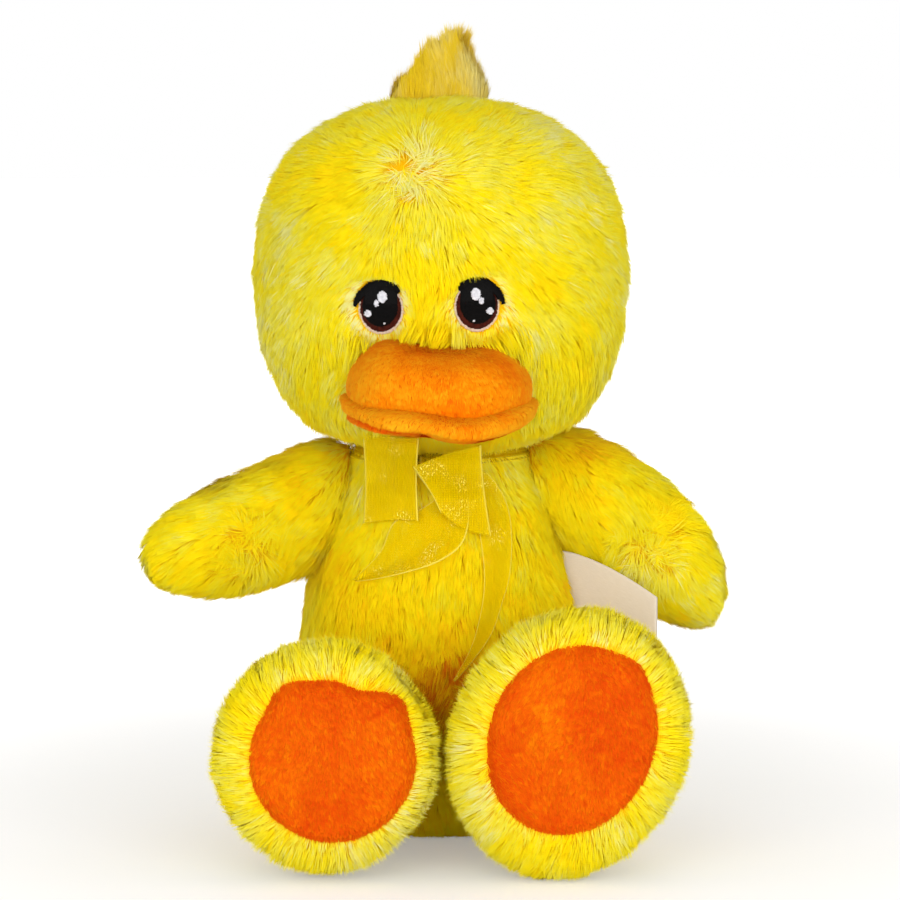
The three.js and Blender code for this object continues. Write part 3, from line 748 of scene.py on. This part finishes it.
# Short pile: dense velour fibre in orange, cut short and lying nearly flat, so it shades by the way it was stroked.
orange_pile = pile_fibre(
    "short_orange_velour",
    roots=[(0.0, "#DC4400"), (0.3, "#EE6000"), (0.6, "#FC9000"), (1.0, "#FFB814")],
    tips=[(0.0, "#E84400"), (0.3, "#F46A00"), (0.55, "#FF9200"), (1.0, "#FFC01C")],
    finish={
        "Roughness": 0.75, "Specular IOR Level": 0.05,
        "Sheen Weight": 0.25, "Sheen Roughness": 0.6, "Sheen Tint": tint("#FFA020"),
    },
)

# The velour's own backing, deeper than its pile, dyed in soft patches 17 mm across.
velour_cloth, tree = new_material("orange_velour_backing")
spot = add(tree, "TexCoord")
cloud = add(tree, "TexNoise", values={"Scale": 60, "Detail": 4}, links={"Vector": (spot, "Object")})
colour = add(tree, "ValToRGB", links={0: cloud}, stops=[(0.3, "#E86400"), (0.7, "#FA8800")])
shader = add(
    tree, "BsdfPrincipled", values={"Roughness": 0.95, "Specular IOR Level": 0.1}, links={"Base Color": colour}
)
add(tree, "OutputMaterial", links={"Surface": shader})

for (
    name, hip_x, foot_x, half_x, half_z, lift, lean_x, sole_w, sole_h, sole_dx, sole_dz, sole_slant, sole_corners, seed
) in (
    (
        "leg_right", -34, -47, 43, 45.2, 5.4, 0, 67.5, 67, 3.2, 1.7, 0.0,
        ((42, 14, 0.1), (72, 12, -0.07), (122, 15, 0.1)), 51,
    ),
    ("leg_left", 37, 52.6, 46, 53.4, 1.8, 5.5, 69, 78, 0.8, 5.6, 0.13, ((48, 14, 0.05),), 52),
):
    foot_z = half_z - body_drop + lift
    sole_at = np.array((foot_x + sole_dx, leg_root_y - leg_length, foot_z + sole_dz))

    def shaped_leg(p):
        share = p[:, 2]
        foot = np.minimum(share / foot_share, 1)
        narrow = 1 - foot_narrow * foot * np.minimum(p[:, 1], 0) ** 2
        x = p[:, 0] * half_x * narrow + lean_x * foot * p[:, 1] + hip_x + (foot_x - hip_x) * foot
        z = p[:, 1] * half_z + hip_z + (foot_z - hip_z) * foot
        p = clear_of_body(np.c_[x, leg_root_y - share * leg_length, z])
        p[:, 2] = np.maximum(p[:, 2], 0)
        return p

    def corner_cut(x, z):
        """How far the sole's edge stands out or in at its corners, by the way round it."""
        turn = np.degrees(np.arctan2(z, x))
        return 1 + sum(size * bell(turn - at, wide) for at, wide, size in sole_corners)

    def sole_share(p):
        """A place's share of the way from the sole's middle to its edge, far over 1 back from the foot's front."""
        z = (p[:, 2] - sole_at[2]) / (sole_h / 2)
        x = (p[:, 0] - sole_at[0]) / (sole_w / 2) - sole_slant * z
        return np.hypot(x, z) / corner_cut(x, z) + 9 * (p[:, 1] > sole_at[1] + 45)

    def leg_keep(p):
        return np.where((outside_body(p) < 3) | (sole_share(p) < 0.96), 0, np.where(p[:, 2] < 0.5, 0.4, 1.0))

    def leg_pile_length(p):
        by_sole = bell(np.maximum(sole_share(p) - 0.97, 0), 0.08)
        return 11 - 5.5 * by_sole - 4 * capped((20 - p[:, 2]) / 20)

    def leg_comb(p):
        ahead = capped((p[:, 1] + 118) / 30)[:, None]
        return unit((p - sole_at) * (1, 0, 1)) * (1 - 0.8 * ahead) + np.array((0, -1.0, 0)) * ahead

    def leg_shade(p):
        foot = capped((-p[:, 1] - 60) / 50)
        return 0.4 + 0.34 * foot + 0.1 * clouds(p, 18, seed) + 0.08 * clouds(p, 7, seed + 50)

    skin = piece(f"{name}_cloth", moved(turned(leg_stations, 64, 56), shaped_leg), backing)
    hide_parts(f"{name}_cover", f"{name}_stuffing")
    hairs = pile(
        f"{name}_pile", skin, long_pile, seed, 3.2, leg_pile_length, leg_comb, leg_shade,
        lean=(72, 84), width=0.31, lock=2.2, gather=0.1, keep=leg_keep,
    )[0]
    for part in (skin, hairs):
        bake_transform(part)

    # The sole: a padded velour disc that stands a little proud of the foot's cloth.
    disc = bmesh.new()
    bmesh.ops.create_grid(disc, x_segments=60, y_segments=60, size=1)

    def shaped_sole(p):
        across, upwards = p[:, 0], p[:, 1]
        x, z = across * np.sqrt(1 - upwards**2 / 2), upwards * np.sqrt(1 - across**2 / 2)
        edge, cut = np.hypot(x, z), corner_cut(x, z)
        x, z = (x * cut + sole_slant * z * cut) * sole_w / 2, z * cut * sole_h / 2
        rise = (z + sole_dz) / half_z
        narrow = 1 - foot_narrow * np.minimum(rise, 0) ** 2
        foot = np.hypot((x + sole_dx - lean_x * rise) / (half_x * narrow), rise)
        line = outline(leg_stations, 400)
        front = line[line[:, 0] > foot_share][::-1]
        y = leg_root_y - leg_length * np.interp(foot, front[:, 1], front[:, 0])
        return np.c_[x + sole_at[0], y - 1.6 + 2.4 * capped((edge - 0.86) / 0.14) ** 2, z + sole_at[2]]

    moved(disc, shaped_sole)
    bmesh.ops.recalc_face_normals(disc, faces=disc.faces)
    sole = piece(f"{name}_sole_cloth", disc, velour_cloth)
    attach(sole, name)
    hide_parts(f"{name}_sole")

    def sole_shade(p):
        """Patchy, with a dark line painted as the shade in the crease that runs down the right sole from its upper
        edge.
        """
        x, z = p[:, 0] + 30.5, p[:, 2] - 70.5
        along = capped((x * 12.2 + z * 6.1) / 186)
        crease = bell(np.hypot(x - 12.2 * along, z - 6.1 * along), 1.1)
        return 0.22 + 0.1 * clouds(p, 22, seed + 3) + 0.05 * clouds(p, 6, seed + 4) - 0.2 * crease

    nap = pile(
        f"{name}_sole_pile", sole, orange_pile, seed + 5, 6.0, fixed(2.6),
        lambda p: brushed(p, 0.3 + 0.5 * clouds(p, 26, seed), 0, -1), sole_shade,
        lean=(62, 78), width=0.3, lock=1.3, gather=0.15, sway=18,
    )[0]
    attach(nap, name)


# Bill: two stuffed velour halves, a dome over a thin lip, sewn to the face and to each other at the mouth. The
# dome swells on its right, both ends droop, and the lip is gathered to a pucker where its seam was drawn in.
def mound(p, at, reach, rise):
    return rise * bell(p - at, reach)


def bill_seam(x):
    """The height of the sewn line that runs along the lip's right half."""
    return 184 + 6.6 * np.clip((-6 - x) / 34, 0, 1.1) ** 1.4


pucker_at = (-8.2, -121, 183.2)
for name, z, half_y, half_z, half_x, seed in (
    ("bill_upper", upper_bill_z, upper_half_y, upper_half_z, upper_half_x, 61),
    ("bill_lower", lower_bill_z, lower_half_y, lower_half_z, lower_half_x, 62),
):
    upper = name == "bill_upper"
    form = bmesh.new()
    bmesh.ops.create_uvsphere(form, u_segments=120, v_segments=72, radius=1)

    def shaped_bill(p):
        square = np.hypot(p[:, 0], p[:, 2]) / np.maximum((np.abs(p[:, [0, 2]]) ** 2.7).sum(axis=1) ** (1 / 2.7), 1e-6)
        p = p * np.c_[square, np.ones(len(p)), square]
        s, top, low = p[:, 0].copy(), capped(p[:, 2]) ** 0.7, capped(-p[:, 2]) ** 0.7
        p = p * (half_x, half_y, half_z) + (bill_x, bill_y, z)
        if upper:
            p[:, 2] += top * (mound(s, -0.62, 0.3, 2.6) - mound(s, 0.1, 0.45, 1.6) - mound(s, 1, 0.3, 1.5))
            p[:, 2] -= 3.4 * np.abs(s) ** 3.5
            p[:, 2] -= low * mound(s, 0.28, 0.4, 3.5)
            p[:, 1] -= top * mound(s, -0.45, 0.5, 1.5) + low * mound(s, 0.25, 0.5, 2.5)
            return p
        p[:, 2] -= mound(s, 0.3, 0.38, 3.2) - low * (1 + mound(s, -0.12, 0.1, 0.8))
        p[:, 2] += np.where(s < 0, 5.4, 3.6) * np.abs(s) ** 6
        groove = bell(p[:, 2] - bill_seam(p[:, 0]), 0.9) * capped((-4 - p[:, 0]) / 4)
        inward = unit((p - (bill_x, bill_y, z)) * (1, 1, 0.2))
        return p - inward * (1.5 * groove + 2.6 * near(p, pucker_at, 2.2))[:, None]

    def bill_keep(p):
        in_dome = (p - (bill_x, bill_y, upper_bill_z)) / (upper_half_x, upper_half_y, upper_half_z)
        return (outside_head(p) > -1) & (upper | (np.linalg.norm(in_dome, axis=1) > 0.97))

    def bill_shade(p):
        # Upper dome: darker at the middle of its lower edge by the mouth, and in a patch on its right. Lip: darker
        # below its seam, as painted shade on its underside; darker in the sewn groove, partly the seam's own colour
        # and partly painted shade; darkest in the pucker, as painted shade.
        value = 0.68 + 0.13 * clouds(p, 14, seed + 3) + 0.05 * clouds(p, 5, seed + 4)
        if upper:
            return value - 0.26 * near(p, (8, -116, 192), 13) - 0.12 * near(p, (20, -108, 208), 8)
        above_seam = p[:, 2] - bill_seam(p[:, 0])
        groove = bell(above_seam, 1.1) * (p[:, 0] < -5)
        return value + 0.12 - 0.2 * (above_seam < 0) - 0.45 * groove - 0.4 * near(p, pucker_at, 2.4)

    half = piece(f"{name}_cloth", moved(form, shaped_bill), velour_cloth)
    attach(half, "head")
    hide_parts(*(n for n in (f"{name}_cover", f"{name}_stuffing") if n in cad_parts))
    nap = pile(
        f"{name}_pile", half, orange_pile, seed, 6.4, fixed(2.6),
        lambda p: brushed(p, p[:, 0] / 70, -0.3, -1), bill_shade,
        lean=(72, 84), width=0.36, lock=1.2, gather=0.1, sway=10, keep=bill_keep,
    )[0]
    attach(nap, "head")


# Eyes: embroidered straight on the face in shiny rayon, so each lies sunk among the pile. From the cloth up: a
# pale outline of spoke stitches, a brown iris, a black pupil and lash line, and white catchlights.
def rayon(name, dark, light):
    made, tree = new_material(name)
    spot = add(tree, "TexCoord")
    strand = add(tree, "TexNoise", values={"Scale": 900, "Detail": 2}, links={"Vector": (spot, "Object")})
    colour = add(tree, "ValToRGB", links={0: strand}, stops=[(0.3, dark), (0.7, light)])
    rough = add(tree, "MapRange", values={3: 0.38, 4: 0.55}, links={0: strand})
    shader = add(
        tree, "BsdfPrincipled", values={"Specular IOR Level": 0.08}, links={"Base Color": colour, "Roughness": rough}
    )
    add(tree, "OutputMaterial", links={"Surface": shader})
    return made


# Twisted rayon in four dyes: each strand catches a thin line of light, which reads as satin stitch. The shade
# changes every millimetre or so along a strand, as its twist does.
outline_thread = rayon("pale_pink_rayon", "#DCC8B8", "#F6E6DA")
iris_thread = rayon("brown_rayon", "#2C0C06", "#521E12")
pupil_thread = rayon("black_rayon", "#020202", "#0A0808")
catch_thread = rayon("white_rayon", "#C4C4CA", "#E4E4E8")


def head_front(x, z):
    """The depth of the face's cloth in front of a place."""
    return head_y - 1.4 - head_half_y * np.sqrt(np.maximum(head_share(z) ** 2 - (x / head_half_x) ** 2, 0.01))


def oval_rows(centre, half_u, half_v, pitch=0.36):
    """Level stitches that fill an oval."""
    rows = []
    for v in np.arange(-half_v + pitch / 2, half_v, pitch):
        reach = half_u * math.sqrt(1 - (v / half_v) ** 2)
        rows.append(((centre[0] - reach, centre[1] + v), (centre[0] + reach, centre[1] + v)))
    return rows


def spoke_rows(centre, half_u, half_v, inner, pitch=0.42):
    """Short stitches across the rim of an oval, their inner ends uneven."""
    rows = []
    count = int(2 * math.pi * (half_u + half_v) / 2 / pitch)
    for k in range(count):
        a = 2 * math.pi * k / count
        spoke = np.array((half_u * math.cos(a), half_v * math.sin(a)))
        rows.append((centre + spoke * (inner - 0.06 * (k % 2)), centre + spoke))
    return rows


def lash_rows(pitch=0.36):
    """Stitches across the lash line, from the inner corner over the top and down outside, thin at its end."""
    line = np.array([(-7.6, 7.6), (-5.2, 9.6), (-2.7, 10.6), (0, 10.9), (2.7, 10.5), (5, 9.3), (6.8, 7.7), (8.4, 6.2),
                     (9.5, 4.5), (10.4, 2.9), (10.9, 1.2)])
    gone = np.concatenate([[0], np.cumsum(np.linalg.norm(np.diff(line, axis=0), axis=1))])

    def at(d):
        return np.array([np.interp(d, gone, line[:, k]) for k in (0, 1)])

    rows = []
    for d in np.arange(0, gone[-1], pitch):
        on = at(d + 0.6) - at(d - 0.6)
        across = np.array((-on[1], on[0])) / np.linalg.norm(on)
        half = np.interp(d / gone[-1], [0, 0.1, 0.5, 0.85, 1], [0.9, 1.7, 1.9, 1.5, 0.6])
        rows.append((at(d) - across * half, at(d) + across * half))
    for u in np.arange(-6.8, 6.2, pitch):
        rows.append(((u, 2.0), (u, np.interp(u, line[:, 0], line[:, 1]) - 0.6)))
    return rows


def stitches(name, rows, material, place, lift, seed, width=0.46):
    """Threads laid side by side: each is a low ridge that starts and ends in the cloth."""
    rng = np.random.default_rng(seed)
    dip = np.array([-0.5, -0.05, 0.08, 0.14, 0.08, -0.05, -0.5])
    points, faces = [], []
    for a, b in rows:
        a, b = np.array(a), np.array(b)
        on = (b - a) / max(np.linalg.norm(b - a), 1e-6)
        a, b = a + on * rng.normal(0, 0.14), b + on * rng.normal(0, 0.14)
        end = min(0.2 / max(np.linalg.norm(b - a), 0.5), 0.4)
        steps = np.array([0, end, end * 1.2 + 0.1, 0.5, 0.9 - end * 1.2, 1 - end, 1])
        across = np.array((-on[1], on[0])) * width / 2
        base, tall = len(points), rng.uniform(-0.03, 0.05)
        for t, h in zip(steps, dip):
            spot = a + (b - a) * t
            for side, rise in ((-1, -0.16), (-0.5, 0.02), (0, 0.09), (0.5, 0.02), (1, -0.16)):
                points.append((*(spot + across * side), lift + h + rise + tall))
        for j in range(len(steps) - 1):
            for i in range(4):
                q = base + j * 5 + i
                faces.append((q, q + 1, q + 6, q + 5))
    points = np.array(points)
    x, z = place(points[:, 0], points[:, 1])
    form = bmesh.new()
    verts = [form.verts.new(co) for co in np.c_[x, head_front(x, z) - points[:, 2], z]]
    for face in faces:
        form.faces.new([verts[k] for k in face])
    if x[np.argmax(points[:, 0])] > x[np.argmin(points[:, 0])]:
        bmesh.ops.reverse_faces(form, faces=form.faces)
    made = piece(name, form, material)
    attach(made, "head")
    return made


rim = np.array((-0.2, 0.4))
for name, out, pupil_pixel, seed in (
    ("eye_right", -1, (380.6, 310), 71),
    ("eye_left", 1, (477.4, 307.3), 72),
):
    pupil = seen_at(*pupil_pixel, head_skin)

    def on_face(u, v):
        return pupil[0] + out * u, pupil[2] + v

    ground = bmesh.new()
    bmesh.ops.create_circle(ground, cap_ends=True, segments=64, radius=1)
    bmesh.ops.inset_region(ground, faces=ground.faces, thickness=0.12, use_even_offset=True)
    bmesh.ops.triangulate(ground, faces=ground.faces)
    bmesh.ops.subdivide_edges(ground, edges=ground.edges, cuts=2)

    def shaped_ground(p):
        edge = np.hypot(p[:, 0], p[:, 1])
        x, z = on_face(p[:, 0] * 9.0 + rim[0], p[:, 1] * 10.2 + rim[1])
        return np.c_[x, head_front(x, z) - 1.3 + 1.6 * (edge > 0.97), z]

    moved(ground, shaped_ground)
    bmesh.ops.recalc_face_normals(ground, faces=ground.faces)
    if sum(f.normal.y * f.calc_area() for f in ground.faces) > 0:
        bmesh.ops.reverse_faces(ground, faces=ground.faces)
    patch = piece(f"{name}_ground", ground, outline_thread)
    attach(patch, "head")
    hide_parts(name)
    stitches(f"{name}_outline", spoke_rows(rim, 9.4, 10.5, 0.85), outline_thread, on_face, 1.8, seed, width=0.3)
    stitches(f"{name}_iris", oval_rows((-0.1, 0.7), 8.7, 9.6), iris_thread, on_face, 2.15, seed + 10)
    dark = oval_rows((0.2, 1.5), 7.5, 8.2) + lash_rows()
    stitches(f"{name}_pupil", dark, pupil_thread, on_face, 2.5, seed + 20)
    lights = oval_rows((-0.7, 5.6), 2.1, 2.5) + oval_rows((1.7, 2.9), 1.1, 1.4) + oval_rows((5.3, -1.4), 1.6, 1.4)
    stitches(f"{name}_catchlights", lights + oval_rows((-1.4, -5.4), 0.6, 0.4), catch_thread, on_face, 2.9, seed + 30)

# Ribbon: one strip of sheer yellow organza, 24 mm wide, gathered round the neck and tied in front in a soft bow.
# The loops fold back on themselves, and the tails lie singly on the chest and hold its pile down.

# Plain-woven nylon, which shows the pile through it, with denser, paler selvedges and painted glints where its threads
# catch light. Organza's threads are about 0.3 mm apart; they are drawn at 1.1 mm, as they wouldn't show finer, with
# painted glints half a millimetre wide.
organza, tree = new_material("yellow_organza")
lay = add(tree, "UVMap", uv_map="weave")
cloth = add(tree, "SeparateXYZ", links={0: lay})
centred = add(tree, "Math", operation="SUBTRACT", values={1: 0.5}, links={0: cloth})
inward = add(tree, "Math", operation="ABSOLUTE", links={0: centred})
selvedge = add(tree, "MapRange", values={1: 0.462, 2: 0.485, 4: 0.66}, links={0: inward})
spot = add(tree, "TexCoord")
warp, weft = (
    add(
        tree, "TexWave", values={"Scale": 290, "Distortion": 1.5}, links={"Vector": (spot, "Object")},
        bands_direction=axis,
    )
    for axis in "XZ"
)
weave = add(tree, "Math", operation="MULTIPLY", links={0: warp, 1: weft})
# Painted glints: pale specks in patches, paler and less sheer where they fall; the selvedges' own paler band joins
# them.
stretch = add(tree, "Mapping", values={"Scale": (2200, 2200, 900)}, links={"Vector": (spot, "Object")})
painted_glint_noise = add(tree, "TexNoise", values={"Scale": 1, "Detail": 1}, links={"Vector": stretch})
patch = add(tree, "TexNoise", values={"Scale": 70, "Detail": 1}, links={"Vector": (spot, "Object")})
patch = add(tree, "MapRange", values={1: 0.5, 2: 0.62}, links={0: patch})
painted_glint = add(tree, "MapRange", values={1: 0.6, 2: 0.7}, links={0: painted_glint_noise})
painted_glint = add(tree, "Math", operation="MULTIPLY", links={0: painted_glint, 1: patch})
glint_and_selvedge = add(tree, "Math", operation="MAXIMUM", links={0: painted_glint, 1: selvedge})
colour = add(tree, "ValToRGB", links={0: glint_and_selvedge}, stops=[(0.0, "#F6D800"), (0.5, "#FCE63C"), (1.0, "#FFF890")])
cover = add(tree, "MapRange", values={3: 0.3, 4: 0.42}, links={0: weave})
cover = add(tree, "Math", operation="MAXIMUM", links={0: cover, 1: glint_and_selvedge})
shader = add(
    tree, "BsdfPrincipled", links={"Base Color": colour, "Alpha": cover},
    values={"Roughness": 0.45, "Specular IOR Level": 0.15, "Specular Tint": tint("#FFF060")},
)
add(tree, "OutputMaterial", links={"Surface": shader})


def body_front(x, z):
    """The depth of the chest's cloth in front of a place."""
    return body_y - body_half_y * np.sqrt(np.maximum(body_share(z) ** 2 - (x / body_half_x) ** 2, 0.01))


def strip(name, material, place_at, across, along, thick=0.2):
    """A thin strip of cloth laid by a rule: across runs from -0.5 to 0.5, along from 0 to 1."""
    form = bmesh.new()
    bmesh.ops.create_grid(form, x_segments=across, y_segments=along, size=0.5)
    raised = bmesh.ops.extrude_face_region(form, geom=form.faces[:], use_keep_orig=True)["geom"]
    bmesh.ops.translate(form, vec=(0, 0, 1), verts=[g for g in raised if isinstance(g, bmesh.types.BMVert)])
    lay = form.loops.layers.uv.new("weave")
    for face in form.faces:
        for loop in face.loops:
            loop[lay].uv = (loop.vert.co.x + 0.5, loop.vert.co.y + 0.5)

    def laid(p):
        u, v = p[:, 0], p[:, 1] + 0.5
        side = place_at(u + 0.004, v) - place_at(u - 0.004, v)
        on = place_at(u, v + 0.002) - place_at(u, v - 0.002)
        return place_at(u, v) + unit(np.cross(side, on)) * ((p[:, 2] - 0.5) * thick)[:, None]

    moved(form, laid)
    bmesh.ops.recalc_face_normals(form, faces=form.faces)
    return piece(name, form, material)


def route(points):
    """A rule that gives the place at a share of the way along a smooth line."""
    line, steps = outline(points, 160), np.arange(161)
    return lambda share: np.column_stack([np.interp(capped(share) * 160, steps, line[:, k]) for k in (0, 1)])


band_z, band_half, band_folds, band_fold_depth = 167.4, 3.6, 4, 1.25
knot_x, knot_z, knot_half_x, knot_half_y, knot_half_z = -3, 162, 5.5, 4.2, 5.2


def band_at(u, v):
    a = 2 * math.pi * v
    out = 2.6 + band_fold_depth * np.sin(2 * math.pi * band_folds * u + 1.3 * np.sin(3 * a))
    x = -np.sin(a) * (body_half_x * body_share(band_z) + out)
    y = body_y + np.cos(a) * (body_half_y * body_share(band_z) + out)
    return np.c_[x, y, band_z + 2 * u * band_half + 0.035 * y]


def knot_at(u, v):
    a = 2 * math.pi * v
    fold = 0.7 * np.sin(2 * math.pi * 3 * u) + 0.9 * (1 - (2 * u) ** 2)
    x, y = knot_x + 2 * u * knot_half_x, body_front(knot_x, knot_z) - 5
    return np.c_[x, y - np.cos(a) * (knot_half_y + fold), knot_z + np.sin(a) * (knot_half_z + fold)]


def loop_rule(corners, lift, gap, crease, sag):
    """Two layers that hang from the knot to a rounded fold. The corners are left and right, above, then below."""
    top_left, top_right, low_left, low_right = (np.array(c, float) for c in corners)

    def at(u, v):
        turn = 0.3 + (2 * math.pi - 0.6) * v
        drop, side = ((1 - np.cos(turn)) / 2)[:, None], (u + 0.5)[:, None]
        top, low = top_left * (1 - side) + top_right * side, low_left * (1 - side) + low_right * side
        spot = top * (1 - drop) + low * drop
        spot = spot + np.c_[np.zeros(len(u)), sag * np.sin(math.pi * side[:, 0])] * (drop - 0.35)
        spot = spot + capped((v - 0.5) * 2)[:, None] * (1 - drop) * np.array((0, -2.0))
        ripple = 0.8 * np.sin(math.pi * (u + 0.5) * 2 + 1.0) * drop[:, 0]
        ripple += crease * bell(u - 0.12, 0.07) * (1 - drop[:, 0])
        ripple += 0.7 * clouds(np.c_[spot, 9 * v], 7, 81)
        spot = spot + (0.5 - side) * np.sin(math.pi * drop) * np.array((1.6, 0))
        x, z = spot.T
        off = lift + gap / 2 * np.sin(turn) + ripple
        return np.c_[x, body_front(x, np.minimum(z, 150)) - off - 15 * capped((z - 150) / 24), z]

    return at


def tail_rule(left, right, lift, turned_from, turned_lift, wave):
    """One layer between two drawn edges. Past a share of its width it turns up off the chest."""
    left, right = route(left), route(right)

    def at(u, v):
        side = (u + 0.5)[:, None]
        x, z = (left(v) * (1 - side) + right(v) * side).T
        turned_up = capped((side[:, 0] - turned_from) / (1 - turned_from))
        body = np.sin(math.pi * capped(v)) ** 0.5
        off = lift + turned_lift * turned_up**1.5 * body + wave * np.sin(5.5 * v + 3 * u) * body
        return np.c_[x, body_front(x, z) - off, z]

    return at


loop_right = loop_rule(((-33, 179), (-9, 178), (-33, 138), (-9.5, 140.5)), 8.5, 4, 1.2, 1.5)
loop_left = loop_rule(((-12, 165), (17, 175), (0, 144.5), (21.5, 134)), 11, 4, -1.4, -3.5)
tail_right = tail_rule(
    ((2, 160), (1, 152), (-8.5, 145), (-20, 139), (-26, 126), (-37.5, 113.5)),
    ((8, 158), (12, 148), (10, 133), (0, 124.5), (-17, 118.5), (-36.5, 113)),
    4.8, 0.55, 8.5, 0.4,
)
tail_left = tail_rule(
    ((1, 160), (10, 157), (14, 148), (16, 137.5), (18, 124.5), (18.5, 112), (16.5, 99), (12.5, 86), (5.2, 73)),
    (
        (4, 164), (16, 162), (24, 154.5), (29, 144), (30.5, 131), (29.5, 116), (26.5, 105.5), (22, 93), (15, 83),
        (6, 72.5),
    ),
    4.6, 0.8, 1.2, 0.5,
)
for name, rule, across, along, width, length, held in (
    ("ribbon_band", band_at, 48, 120, 0.024, 0.255, "gathered"),
    ("ribbon_knot", knot_at, 30, 40, 0.018, 0.034, "folded"),
    ("ribbon_loop_right", loop_right, 24, 64, 0.024, 0.090, "folded"),
    ("ribbon_loop_left", loop_left, 24, 64, 0.024, 0.075, "folded"),
    ("ribbon_tail_right", tail_right, 24, 60, 0.018, 0.070, "laid"),
    ("ribbon_tail_left", tail_left, 20, 84, 0.014, 0.100, "laid"),
):
    sheet = strip(f"{name}_organza", organza, rule, across, along)
    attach(sheet, "body")
    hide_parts(name)

# Label: a bare tag of cream tape, folded in two at its free end and caught in the side seam, drooping outwards.

# Satin-woven polyester: threads a tenth of a millimetre wide give it a soft lengthwise sheen.
satin, tree = new_material("cream_satin_tape")
lay = add(tree, "UVMap", uv_map="weave")
stretch = add(tree, "Mapping", values={"Scale": (60, 8, 1)}, links={"Vector": lay})
threads = add(tree, "TexNoise", values={"Scale": 4, "Detail": 3}, links={"Vector": stretch})
colour = add(tree, "ValToRGB", links={0: threads}, stops=[(0.3, "#DCCFBC"), (0.7, "#EADFD0")])
bump = add(tree, "Bump", values={"Strength": 0.25, "Distance": 0.0002}, links={"Height": threads})
shader = add(
    tree, "BsdfPrincipled", values={"Roughness": 0.45, "Specular IOR Level": 0.35},
    links={"Base Color": colour, "Normal": bump},
)
add(tree, "OutputMaterial", links={"Surface": shader})
label_height, label_length, label_z, label_y, label_root_x, label_droop = 24, 41, 110.5, -10, 52, -17


def label_at(u, v):
    ply = np.where(v < 0.5, 1, -1)
    out = 1 - np.abs(2 * v - 1)
    bend = 0.9 * np.sin(2.6 * out + 1.5 * u) * out
    apart = 0.55 * np.sqrt(capped(1 - out**8)) * ply
    z = label_z + label_height * u + label_droop * np.maximum(out, 0) ** 1.6
    return np.c_[label_root_x + label_length * out, label_y - 26 * out - apart - bend, z]


label = strip("label_satin", satin, label_at, 20, 80, thick=0.16)
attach(label, "body")
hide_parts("label")
